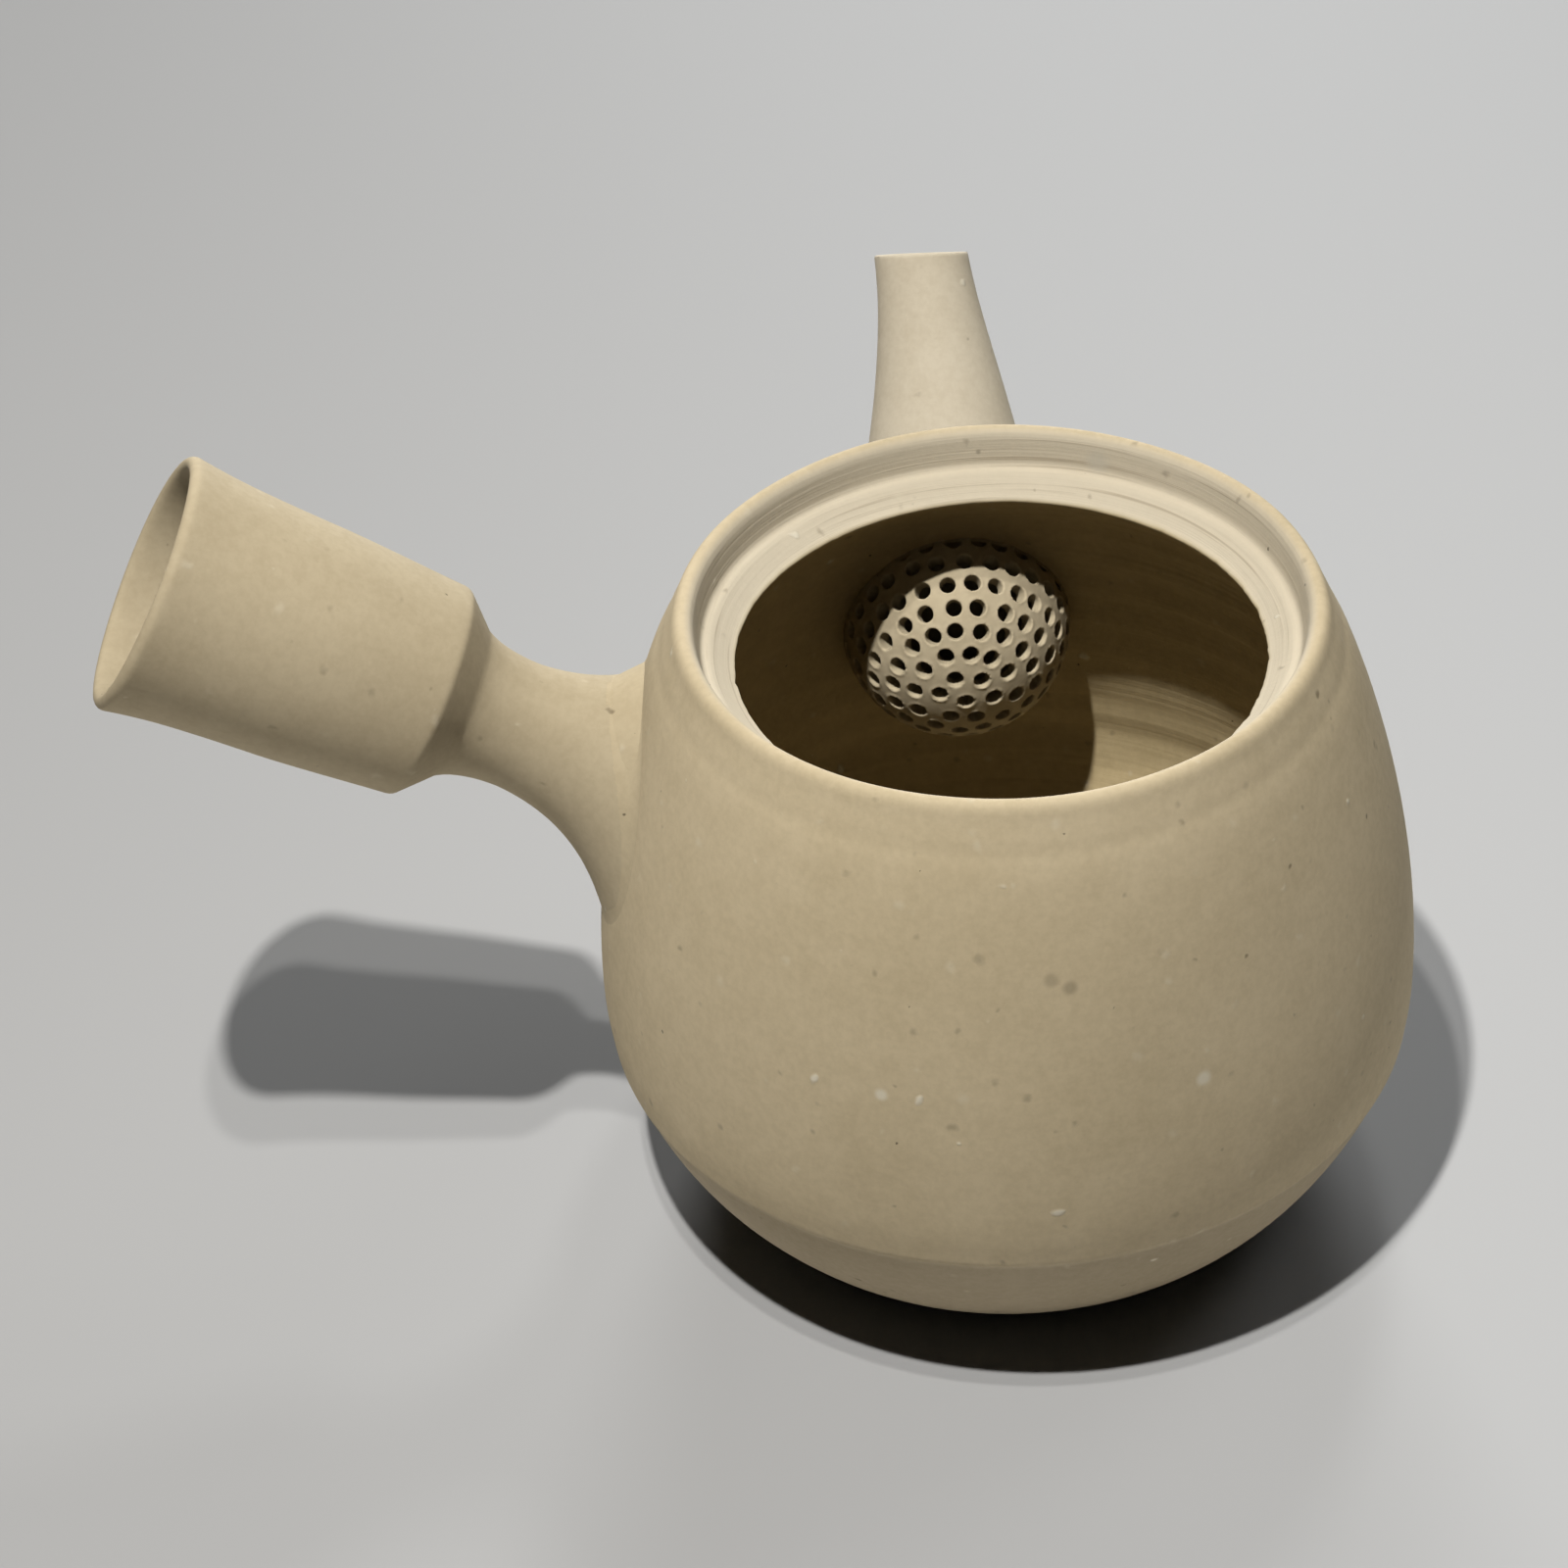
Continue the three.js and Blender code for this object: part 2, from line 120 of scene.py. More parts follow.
def spun(points: list[Vector], steps: int) -> bmesh.types.BMesh:
    """Spins a section about Z into a closed skin.

    Args:
        points: The section. It starts and ends on the axis, or it is closed into a ring.
        steps: The number of steps round the axis.
    """
    bm = bmesh.new()
    verts = [bm.verts.new(point) for point in points]
    edges = [bm.edges.new(pair) for pair in zip(verts, verts[1:])]
    if points[0].x > 0 or points[-1].x > 0:
        edges.append(bm.edges.new((verts[-1], verts[0])))
    bmesh.ops.spin(
        bm,
        geom=verts + edges,
        cent=(0, 0, 0),
        axis=(0, 0, 1),
        angle=math.tau,
        steps=steps,
        use_merge=True,
    )
    bmesh.ops.remove_doubles(bm, verts=bm.verts, dist=1e-4)
    bmesh.ops.recalc_face_normals(bm, faces=bm.faces)
    return bm


def collar(place: Callable[[float, float], Vector], rows: int, steps: int) -> bmesh.types.BMesh:
    """Makes a ring whose section changes as it goes round.

    Args:
        place: Gives the point for a share of the way round the section and an angle round the ring.
        rows: Steps round the section.
        steps: Steps round the ring.
    """
    section = [
        Vector((10 + math.cos(math.tau * k / rows), 0, math.sin(math.tau * k / rows)))
        for k in range(rows)
    ]
    bm = spun(section, steps)
    for vert in bm.verts:
        angle = math.atan2(vert.co.y, vert.co.x)
        out = math.hypot(vert.co.x, vert.co.y) - 10
        share = round(math.atan2(vert.co.z, out) / math.tau * rows) % rows / rows
        vert.co = place(share, angle)
    bmesh.ops.recalc_face_normals(bm, faces=bm.faces)
    return bm


def hand_shift(point: Vector) -> Vector:
    """How far the hand and the kiln moved the clay at a point, the same for every piece there."""
    shift = noise.noise_vector(point * HAND_SCALE) * HAND_DEPTH
    return shift * min(1.0, max(0.0, point.z / HAND_FOOT))


HAND_SCALE = 0.045
HAND_DEPTH = 0.16
HAND_FOOT = 8.0


def finished(name: str, bm: bmesh.types.BMesh, sharp: float = 50) -> bpy.types.Object:
    """Turns a bmesh in millimetres into a smooth object in metres at the origin."""
    for vert in bm.verts:
        vert.co += hand_shift(vert.co)
    bmesh.ops.scale(bm, vec=(MM, MM, MM), verts=bm.verts)
    mesh = bpy.data.meshes.new(name)
    bm.to_mesh(mesh)
    bm.free()
    mesh.shade_smooth()
    mesh.set_sharp_from_angle(angle=math.radians(sharp))
    piece = bpy.data.objects.new(name, mesh)
    bpy.context.scene.collection.objects.link(piece)
    return piece


def rough(bm: bmesh.types.BMesh) -> bpy.types.Object:
    """Turns a bmesh into a working object that is cut further, still in millimetres."""
    mesh = bpy.data.meshes.new("working")
    bm.to_mesh(mesh)
    bm.free()
    piece = bpy.data.objects.new("working", mesh)
    bpy.context.scene.collection.objects.link(piece)
    return piece


def worked(piece: bpy.types.Object) -> bmesh.types.BMesh:
    """Applies a working object's modifiers, removes it, and gives its mesh back as a bmesh."""
    depsgraph = bpy.context.evaluated_depsgraph_get()
    bm = bmesh.new()
    bm.from_mesh(piece.evaluated_get(depsgraph).to_mesh())
    bpy.data.objects.remove(piece)
    return bm


def combined(
    bm: bmesh.types.BMesh, other: bmesh.types.BMesh, operation: str
) -> bmesh.types.BMesh:
    """Cuts a solid with another, or keeps what they share.

    Args:
        bm: The solid that is changed.
        other: The solid that changes it.
        operation: DIFFERENCE, INTERSECT or UNION.
    """
    piece, tool = rough(bm), rough(other)
    modifier = piece.modifiers.new("cut", "BOOLEAN")
    modifier.operation = operation
    modifier.solver = "EXACT"
    modifier.object = tool
    result = worked(piece)
    bpy.data.objects.remove(tool)
    return result


@dataclass
class Pot:
    """The thrown pot: its outside, rounded rim, lid ledge and ridged inside."""

    foot_radius: float = 31.6
    trim_radius: float = 45.25
    trim_height: float = 21.3
    trim_lip: float = 0.3
    belly_radius: float = 45.95
    belly_height: float = 27.0
    collar_radius: float = 37.6
    collar_height: float = 68.8
    groove_height: float = 70.2
    groove_depth: float = 0.18
    groove_width: float = 1.3
    rim_radius: float = 35.2
    rim_height: float = 75.2
    wall: float = 3.7
    floor: float = 4.4
    ledge_radius: float = 31.8
    ledge_height: float = 70.9
    mouth_radius: float = 28.6
    mouth_height: float = 69.0
    ridge_depth: float = 0.09
    ridge_pitch: float = 5.2
    outlet_radius: float = 11.2
    chip_depth: float = 0.17
    chip_scale: float = 0.42
    chip_start: float = 0.12
    grit_share: float = 0.25
    grit_scale: float = 1.6
    steps: int = 256

    def outside(self) -> Outline:
        """The outside, from the foot's edge to the top of the collar."""
        foot, trim, edge = self.foot_radius, self.trim_radius, self.trim_height
        belly, middle, collar = self.belly_radius, self.belly_height, self.collar_radius
        rise, fall, lift = self.collar_height - middle, belly - collar, middle - edge
        lip = trim + self.trim_lip
        outline = Outline(foot - 0.7, 0)
        outline.curve((foot - 0.1, 0), (foot + 0.1, 0.2), (foot + 0.4, 0.7), 4)
        outline.curve((foot + 7.1, edge * 0.25), (trim - 1.75, edge * 0.72), (trim - 0.38, edge - 1.1), 24)
        outline.curve((trim - 0.1, edge - 0.65), (lip - 0.03, edge - 0.2), (lip, edge + 0.35), 6)
        outline.curve((lip + 0.1, edge + 1.6), (belly, edge + 0.5 * lift), (belly, middle), 10)
        bulge = (collar + 0.52 * fall, middle + 0.74 * rise)
        outline.curve((belly, middle + 0.36 * rise), bulge, (collar, self.collar_height), 44)
        return outline

    def rim(self, outline: Outline) -> Outline:
        """Carries the outside over the rounded rim and down to the lid ledge."""
        top, rim = self.rim_height, self.rim_radius
        collar, start = self.collar_radius, self.collar_height
        ledge, seat = self.ledge_radius, self.ledge_height
        mouth, edge = self.mouth_radius, self.mouth_height
        outline.curve((collar - 0.6, start + 1.8), (rim + 0.75, top - 3.2), (rim, top - 1.1), 16)
        for point in outline.points:
            away = (point.z - self.groove_height) / self.groove_width
            point.x -= self.groove_depth * math.exp(-(away**2))
        outline.curve((rim - 0.3, top - 0.3), (rim - 0.7, top), (rim - 1.2, top), 6)
        outline.curve((rim - 1.7, top), (rim - 2.2, top - 0.35), (rim - 2.4, top - 1.2), 6)
        outline.line(ledge + 0.5, seat + 0.7, 5)
        outline.curve((ledge + 0.35, seat + 0.15), (ledge + 0.1, seat), (ledge - 0.5, seat - 0.06), 5)
        outline.line(mouth + 0.5, edge + 0.15, 5)
        outline.curve((mouth + 0.15, edge), (mouth, edge - 0.15), (mouth + 0.02, edge - 0.5), 4)
        outline.line(mouth + 0.45, edge - 1.2, 2)
        return outline

    def inside(self, outline: Outline) -> Outline:
        """Carries the section down the inside wall to the middle of the floor."""
        belly, middle = self.belly_radius - self.wall, self.belly_height
        neck, edge = self.collar_radius - self.wall, self.mouth_height
        foot, floor = self.foot_radius, self.floor
        outline.curve(
            (self.mouth_radius + 2, edge - 2), (neck - 0.8, edge - 3.5), (neck + 1.4, edge - 7.5), 10
        )
        outline.curve((neck + 3.9, edge - 14.5), (belly, middle + 12), (belly, middle), 36)
        outline.curve((belly, self.trim_height + 2), (foot + 3, floor + 2.6), (foot - 8, floor + 0.4), 26)
        outline.line(0, floor, 14)
        return outline

    def wall_point(self, start: Vector, along: Vector, inner: bool = False) -> Vector:
        """Where a line meets the pot's wall.

        Args:
            start: A point on the line, at the pot's axis side of the wall.
            along: The line's direction, out of the pot.
            inner: Whether the inner face of the wall is meant.
        """
        outline = self.outside()
        inset = self.wall if inner else 0.0
        near, far = 0.0, 4 * self.belly_radius
        for _ in range(40):
            middle = (near + far) / 2
            point = start + along * middle
            if math.hypot(point.x, point.y) < outline.radius_at(point.z) - inset:
                near = middle
            else:
                far = middle
        return start + along * near

    def build(self, outlet: bmesh.types.BMesh) -> bpy.types.Object:
        """Throws the pot and cuts its outlet.

        Args:
            outlet: The solid that cuts the hole behind the strainer.
        """
        section = self.inside(self.rim(self.outside()))
        bm = spun([Vector((0, 0, 0)), *section.points], self.steps)
        for vert in bm.verts:
            self.throw_ridge(vert)
            self.chip_edge(vert)
        bm = combined(bm, outlet, "DIFFERENCE")
        return finished("thrown_pot", bm)

    def throw_ridge(self, vert: bmesh.types.BMVert) -> None:
        """Moves a vertex of the inside onto the spiral ridges that the fingers leave."""
        radius = math.hypot(vert.co.x, vert.co.y)
        inner = self.belly_radius - self.wall + 1
        below = self.mouth_height - 3
        if radius < 3 or vert.co.z > below or vert.co.z < 1 or radius > inner:
            return
        if radius > self.outside().radius_at(vert.co.z) - self.wall * 0.6:
            return
        turn = math.atan2(vert.co.y, vert.co.x) / math.tau
        wave = math.sin(math.tau * (vert.co.z / self.ridge_pitch + turn))
        fade = min(1.0, (below - vert.co.z) / 8)
        push = self.ridge_depth * wave * fade
        vert.co.x += push * vert.co.x / radius
        vert.co.y += push * vert.co.y / radius

    def chip_edge(self, vert: bmesh.types.BMVert) -> None:
        """Roughens the edge of the mouth, where the ledge was trimmed through coarse clay."""
        radius = math.hypot(vert.co.x, vert.co.y)
        near = max(0.0, 1 - abs(radius - self.mouth_radius) / 1.1)
        near *= max(0.0, 1 - abs(vert.co.z - self.mouth_height + 0.35) / 1.3)
        if near <= 0:
            return
        chips = max(0.0, noise.noise(vert.co * self.chip_scale) - self.chip_start)
        bite = chips + self.grit_share * noise.noise(vert.co * self.grit_scale)
        push = 2 * self.chip_depth * bite * near
        vert.co.x += push * vert.co.x / radius
        vert.co.y += push * vert.co.y / radius
        vert.co.z -= 0.5 * push


@dataclass
class Handle:
    """The thrown, hollow handle, by distance along its axis from the pot's axis."""

    turn: float = 174.3
    rise: float = 28.6
    height: float = 32.1
    root_place: float = 43.6
    root_radius: float = 15.5
    neck_place: float = 60.0
    neck_radius: float = 7.08
    grip_start: float = 71.0
    lip_place: float = 102.7
    lip_radius: float = 14.35
    end: float = 103.95
    askew: float = 2.0
    askew_from: float = 80.0
    steps: int = 128

    def __post_init__(self) -> None:
        """Works out the axis, and the side that the end is cut askew towards."""
        self.along = pointing(self.turn, self.rise)
        self.origin = Vector((0, 0, self.height))
        turn = math.radians(self.turn)
        side = Vector((math.sin(turn), -math.cos(turn), -0.6))
        self.low_side = (side - self.along * side.dot(self.along)).normalized()

    def outside(self) -> Outline:
        """The neck, the cut shoulder and the flaring grip."""
        outline = Outline(self.root_radius, self.root_place)
        outline.curve((11.6, 47.0), (7.6, 51.5), (self.neck_radius, self.neck_place), 26)
        outline.curve((7.05, 63.0), (7.6, 65.6), (8.55, 67.1), 14)
        outline.line(11.55, 70.25, 6)
        outline.curve((11.85, 70.55), (12.03, 70.75), (12.08, self.grip_start + 0.3), 4)
        outline.curve((12.35, 75.5), (12.95, 81.5), (13.15, 86.0), 14)
        outline.curve((13.28, 90.0), (13.45, 94.0), (13.67, 97.0), 10)
        outline.curve((13.85, 99.2), (14.1, 101.2), (self.lip_radius, self.lip_place), 7)
        return outline

    def section(self) -> Outline:
        """The outside, the rounded lip and the hollow."""
        outline = self.outside()
        outline.curve((14.5, 103.3), (14.15, 103.85), (13.62, self.end), 5)
        outline.curve((13.1, 104.0), (12.85, 103.7), (12.68, 103.1), 5)
        outline.curve((12.4, 101.9), (12.0, 99.0), (11.65, 96.0), 8)
        outline.curve((11.2, 90), (10.9, 84), (10.5, 78.0), 12)
        outline.curve((10.2, 72.5), (5.4, 71.5), (5.0, 65.0), 10)
        outline.line(4.8, 53, 5)
        outline.line(6.0, self.root_place, 4)
        return outline

    def build(self, pot: Pot) -> bpy.types.Object:
        """Spins the handle, stands it on its axis and fits its root into the wall."""
        bm = spun(self.section().points, self.steps)
        stand = turning_frame(self.origin, self.along)
        side = stand.to_3x3().transposed() @ self.low_side
        for vert in bm.verts:
            reach = (vert.co.z - self.askew_from) / (self.end - self.askew_from)
            reach = min(1.0, max(0.0, reach))
            across = vert.co.x * side.x + vert.co.y * side.y
            ease = reach * reach * (3 - 2 * reach)
            vert.co.z += across * math.tan(math.radians(self.askew)) * ease
        bmesh.ops.transform(bm, matrix=stand, verts=bm.verts)
        bulk = pot_bulk(pot, ROOT_DEPTH, 96)
        return finished("thrown_handle", combined(bm, bulk, "DIFFERENCE"))


@dataclass
class Spout:
    """The thrown spout, by distance along its axis from the strainer's centre."""

    turn: float = 88.7
    rise: float = 50.0
    centre: tuple[float, float, float] = (0, 41, 43.5)
    length: float = 44.0
    cut_turn: float = 84.0
    cut_rise: float = 60.0
    bend: float = 0.85
    bend_from: float = 26.0
    wall: float = 1.5
    root_place: float = -6.0
    steps: int = 72

    def __post_init__(self) -> None:
        """Works out the axis."""
        self.along = pointing(self.turn, self.rise)
        self.cut_normal = pointing(self.cut_turn, self.cut_rise)
        self.origin = Vector(self.centre)

    def outside(self, inset: float = 0.0) -> Outline:
        """The spout's outside, or its bore where inset by the wall."""
        outline = Outline(13.4 - inset, self.root_place)
        outline.curve((12.6 - inset, 3), (10.75 - inset, 13), (8.7 - inset, 23), 22)
        outline.curve((7.85 - inset, 27), (6.95 - inset, 31.5), (6.42 - inset, 35), 12)
        outline.curve((5.95 - inset, 38.2), (5.6 - inset, 40.5), (5.45 - inset, 48), 14)
        return outline

    def build(self, pot: Pot) -> bpy.types.Object:
        """Spins the spout, trims its tip at a slant and fits its root into the wall."""
        bore = [*reversed(self.outside(self.wall).points)]
        bm = spun([*self.outside().points, *bore], self.steps)
        bmesh.ops.transform(bm, matrix=turning_frame(self.origin, self.along), verts=bm.verts)
        for vert in bm.verts:
            reach = (vert.co - self.origin).dot(self.along) - self.bend_from
            vert.co.x -= self.bend * (max(0.0, reach) / (self.length - self.bend_from)) ** 1.6
        tip = self.origin + self.along * self.length
        cut = bmesh.ops.bisect_plane(
            bm,
            geom=[*bm.verts, *bm.edges, *bm.faces],
            plane_co=tip,
            plane_no=self.cut_normal,
            clear_outer=True,
        )
        rims = [part for part in cut["geom_cut"] if isinstance(part, bmesh.types.BMEdge)]
        bmesh.ops.bridge_loops(bm, edges=rims)
        bmesh.ops.bevel(
            bm,
            geom=rims,
            offset=0.32,
            segments=3,
            profile=0.5,
            affect="EDGES",
            material=-1,
        )
        bmesh.ops.recalc_face_normals(bm, faces=bm.faces)
        bulk = pot_bulk(pot, ROOT_DEPTH, 96)
        return finished("thrown_spout", combined(bm, bulk, "DIFFERENCE"))


def pot_bulk(pot: Pot, depth: float, steps: int) -> bmesh.types.BMesh:
    """Fills the pot's outside, taken in by a depth, with a solid.

    Args:
        pot: The pot.
        depth: How far under the outside the solid's skin lies.
        steps: The number of steps round the solid.
    """
    outline = pot.outside()
    rise = BULK_TOP - BULK_FOOT
    heights = [BULK_FOOT + rise * i / BULK_ROWS for i in range(BULK_ROWS + 1)]
    skin = [Vector((outline.radius_at(min(z, pot.collar_height)) - depth, 0, z)) for z in heights]
    return spun([Vector((0, 0, BULK_FOOT)), *skin, Vector((0, 0, BULK_TOP))], steps)


BULK_FOOT = 2
BULK_TOP = 74
BULK_ROWS = 48
ROOT_DEPTH = 1.2


@dataclass
class Strainer:
    """The pierced ball strainer on the inside of the wall."""

    radius: float = 13.4
    wall: float = 1.9
    centre: tuple[float, float, float] = (-0.5, 38.2, 45.1)
    facing: tuple[float, float, float] = (-0.046, -0.991, -0.126)
    ring_step: float = 12.2
    ring_offset: float = 2.2
    first_rings: tuple[tuple[float, ...], ...] = (
        (0,),
        (57, 111, 161, 236, 293, 359),
        (31, 57, 83, 112, 141, 173, 202, 233, 264, 292, 320, 353),
    )
    ring_counts: tuple[int, ...] = (18, 21, 26, 27, 28)
    ring_phases: tuple[float, ...] = (15, 10, 1, 7, 2)
    whole_rings: int = 4
    lowest: float = -0.88
    polar_wander: float = 0.8
    turn_wander: float = 1.6
    piercing: float = 1.95
    lip: float = 0.09
    voxel: float = 0.2

    def piercings(self) -> list[Matrix]:
        """The places of the piercings, each a matrix whose Z points out of the dome.

        The awl doesn't reach the underside close to the wall, so the outer rings stop short of it.
        """
        hand = random.Random(7)
        front = Vector((0, -1, 0))
        lean = front.rotation_difference(Vector(self.facing).normalized())
        rings = list(self.first_rings)
        for count, phase in zip(self.ring_counts, self.ring_phases):
            rings.append(tuple(phase + 360 * i / count for i in range(count)))
        places = []
        for ring, turns in enumerate(rings):
            for turn in turns:
                loose = min(1, ring)
                shift = self.ring_offset + hand.uniform(-self.polar_wander, self.polar_wander)
                polar = ring * self.ring_step + shift * loose
                around = turn + hand.uniform(-self.turn_wander, self.turn_wander) * loose
                tilt = Quaternion((0, 0, 1), math.radians(polar))
                out = lean @ (Quaternion(front, math.radians(around)) @ (tilt @ front))
                if ring > self.whole_rings and out.z < self.lowest:
                    continue
                centre = Vector(self.centre) + out * self.radius
                places.append(turning_frame(centre, out))
        return places

    def shell(self) -> bmesh.types.BMesh:
        """The dome before piercing."""
        outer, inner = bmesh.new(), bmesh.new()
        for bm, radius in ((outer, self.radius), (inner, self.radius - self.wall)):
            bmesh.ops.create_uvsphere(bm, u_segments=96, v_segments=64, radius=radius)
            bmesh.ops.translate(bm, vec=self.centre, verts=bm.verts)
        return combined(outer, inner, "DIFFERENCE")

    def tools(self) -> tuple[bmesh.types.BMesh, bmesh.types.BMesh]:
        """The punches that pierce the dome, and the lips of clay that they push up."""
        hand = random.Random(3)
        punches, lips = bmesh.new(), bmesh.new()
        for place in self.piercings():
            size = self.piercing / 2 * hand.uniform(0.95, 1.04)
            bmesh.ops.create_cone(
                punches,
                cap_ends=True,
                segments=20,
                radius1=size * 0.93,
                radius2=size * 1.05,
                depth=self.wall * 2.3,
                matrix=place,
            )
            minor = self.lip * hand.uniform(0.6, 1.25)
            ring = spun(
                [
                    Vector((size + 0.1 + minor * math.cos(a), 0, minor * math.sin(a)))
                    for a in (math.tau * k / 8 for k in range(8))
                ],
                24,
            )
            bmesh.ops.transform(ring, matrix=place, verts=ring.verts)
            joined = bpy.data.meshes.new("lip")
            ring.to_mesh(joined)
            ring.free()
            lips.from_mesh(joined)
            bpy.data.meshes.remove(joined)
        return punches, lips

    def build(self, pot: Pot) -> bpy.types.Object:
        """Pierces the dome, trims it to the wall and softens it as wet clay is."""
        punches, lips = self.tools()
        core = pot_bulk(pot, pot.wall - ROOT_DEPTH, 128)
        dome = combined(self.shell(), core, "INTERSECT")
        piece = rough(dome)
        lip_piece = rough(lips)
        punch_piece = rough(punches)
        add = piece.modifiers.new("lips", "BOOLEAN")
        add.operation, add.solver, add.object = "UNION", "EXACT", lip_piece
        add.use_self = True
        cut = piece.modifiers.new("punches", "BOOLEAN")
        cut.operation, cut.solver, cut.object = "DIFFERENCE", "EXACT", punch_piece
        cut.use_self = True
        remesh = piece.modifiers.new("soften", "REMESH")
        remesh.mode = "VOXEL"
        remesh.voxel_size = self.voxel
        remesh.use_smooth_shade = True
        soften = piece.modifiers.new("smooth", "SMOOTH")
        soften.factor, soften.iterations = 0.5, 2
        bm = worked(piece)
        for tool in (lip_piece, punch_piece):
            bpy.data.objects.remove(tool)
        return finished("pierced_ball", bm, sharp=180)


@dataclass
class RootClay:
    """The luting clay that is smoothed into the corner where a turned piece meets the wall."""

    name: str
    piece: Handle | Spout
    spread_top: float
    spread_under: float
    rows: int = 14
    steps: int = 96

    def build(self, pot: Pot) -> bpy.types.Object:
        """Smooths the clay from the piece onto the wall.

        Args:
            pot: The pot whose wall the clay lies on.
        """
        origin, along, outline = self.piece.origin, self.piece.along, self.piece.outside()
        frame_matrix = turning_frame(origin, along).to_3x3()
        up = (UP - along * UP.dot(along)).normalized()
        fillet = self.rows - 3

        def place(share: float, angle: float) -> Vector:
            """A point of the fillet: its curve, then the hidden back of the clay."""
            out = frame_matrix @ Vector((math.cos(angle), math.sin(angle), 0))
            height = (out.dot(up) + 1) / 2
            spread = self.spread_under + (self.spread_top - self.spread_under) * height**0.6
            radius = outline.points[0].x
            for _ in range(6):
                meeting = pot.wall_point(origin + out * radius, along)
                distance = (meeting - origin).dot(along)
                radius = (radius + outline.radius_at(distance)) / 2
            lift = distance + spread
            slope = (outline.radius_at(lift + 0.3) - outline.radius_at(lift - 0.3)) / 0.6
            start = origin + along * lift + out * (outline.radius_at(lift) - 0.03)
            down = -(along + out * slope).normalized()
            corner = pot.wall_point(start + down * 16, -down)
            reach = (corner - origin).dot(out)
            end = pot.wall_point(origin + out * (reach + 0.6 * spread), along)
            inward = Vector((end.x, end.y, 0)).normalized()
            step = round(share * self.rows)
            if step <= fillet:
                t = step / fillet
                point = start * (1 - t) ** 2 + corner * 2 * t * (1 - t) + end * t * t
                return point - inward * 0.04 * t
            if step == fillet + 1:
                return end - inward * 1.2
            return start - out * 1.2

        return finished(self.name, collar(place, self.rows, self.steps), sharp=60)


@dataclass
class StrainerClay:
    """The ring of clay that seats the strainer on the inner wall."""

    strainer: Strainer
    spread: float = 1.3
    rows: int = 10
    steps: int = 96

    def build(self, pot: Pot) -> bpy.types.Object:
        """Smooths the clay from the dome onto the inner wall."""
        centre = Vector(self.strainer.centre)
        across, outwards = Vector((1, 0, 0)), Vector((0, 1, 0))
        fillet = self.rows - 3
        ball = self.strainer.radius

        def on_wall(angle: float, radius: float) -> Vector:
            """The inner wall's point at an angle and radius about the dome's axis."""
            out = across * math.cos(angle) + UP * math.sin(angle)
            start = centre + out * radius - outwards * 2 * ball
            return pot.wall_point(start, outwards, inner=True)

        def place(share: float, angle: float) -> Vector:
            """A point of the fillet, then the hidden back of the clay."""
            out = across * math.cos(angle) + UP * math.sin(angle)
            corner = on_wall(angle, ball - 0.1)
            end = on_wall(angle, ball + self.spread)
            lift = (corner - centre).dot(outwards) - self.spread * 1.2
            start = centre + outwards * lift + out * math.sqrt(max(ball**2 - lift**2, 1))
            start -= (start - centre).normalized() * 0.05
            step = round(share * self.rows)
            if step <= fillet:
                t = step / fillet
                point = start * (1 - t) ** 2 + corner * 2 * t * (1 - t) + end * t * t
                return point + outwards * 0.05 * t
            if step == fillet + 1:
                return end + outwards * 1.0
            return start - (start - centre).normalized() * 0.8 + outwards * 1.5

        return finished("strainer_luting", collar(place, self.rows, self.steps), sharp=60)


class NodeSheet:
    """Lays out and wires the nodes of one tree."""

    def __init__(self, tree: bpy.types.NodeTree) -> None:
        """Keeps the tree that the nodes go into."""
        self.tree = tree

    def feed(self, socket: Socket, value: object) -> None:
        """Links a socket to another, or sets its value."""
        if isinstance(value, Socket):
            self.tree.links.new(value, socket)
        elif value is not None:
            socket.default_value = value

    def node(self, kind: str, values: dict | None = None, **settings: object) -> bpy.types.Node:
        """Adds a node.

        Args:
            kind: Its type, without the words ShaderNode.
            values: What its inputs are fed, by name or place.
            settings: Its own options.
        """
        made = self.tree.nodes.new("ShaderNode" + kind)
        for key, setting in settings.items():
            setattr(made, key, setting)
        for key, value in (values or {}).items():
            self.feed(made.inputs[key], value)
        return made

    def math(self, operation: str, *values: object) -> Socket:
        """Adds a Math node and gives its result."""
        made = self.node("Math", dict(enumerate(values)), operation=operation)
        return made.outputs[0]

    def mix(self, share: object, first: object, second: object, blend: str = "MIX") -> Socket:
        """Mixes two colours and gives the result."""
        made = self.node("Mix", {0: share, 6: first, 7: second}, data_type="RGBA", blend_type=blend)
        return made.outputs[2]

    def ramp(self, value: object, low: float, high: float, start: float = 0, end: float = 1) -> Socket:
        """Maps a value from one range onto another with soft ends."""
        inputs = {0: value, 1: low, 2: high, 3: start, 4: end}
        return self.node("MapRange", inputs, interpolation_type="SMOOTHSTEP").outputs[0]

    def noise(self, vector: object, scale: float, detail: float = 2, rough: float = 0.5) -> Socket:
        """Adds a noise pattern and gives its value."""
        inputs = {"Vector": vector, "Scale": scale, "Detail": detail, "Roughness": rough}
        return self.node("TexNoise", inputs).outputs[0]

    def stretched(self, vector: object, scale: tuple[float, float, float]) -> Socket:
        """Scales the coordinates by an amount along each axis."""
        made = self.node("VectorMath", {0: vector, 1: scale}, operation="MULTIPLY")
        return made.outputs[0]


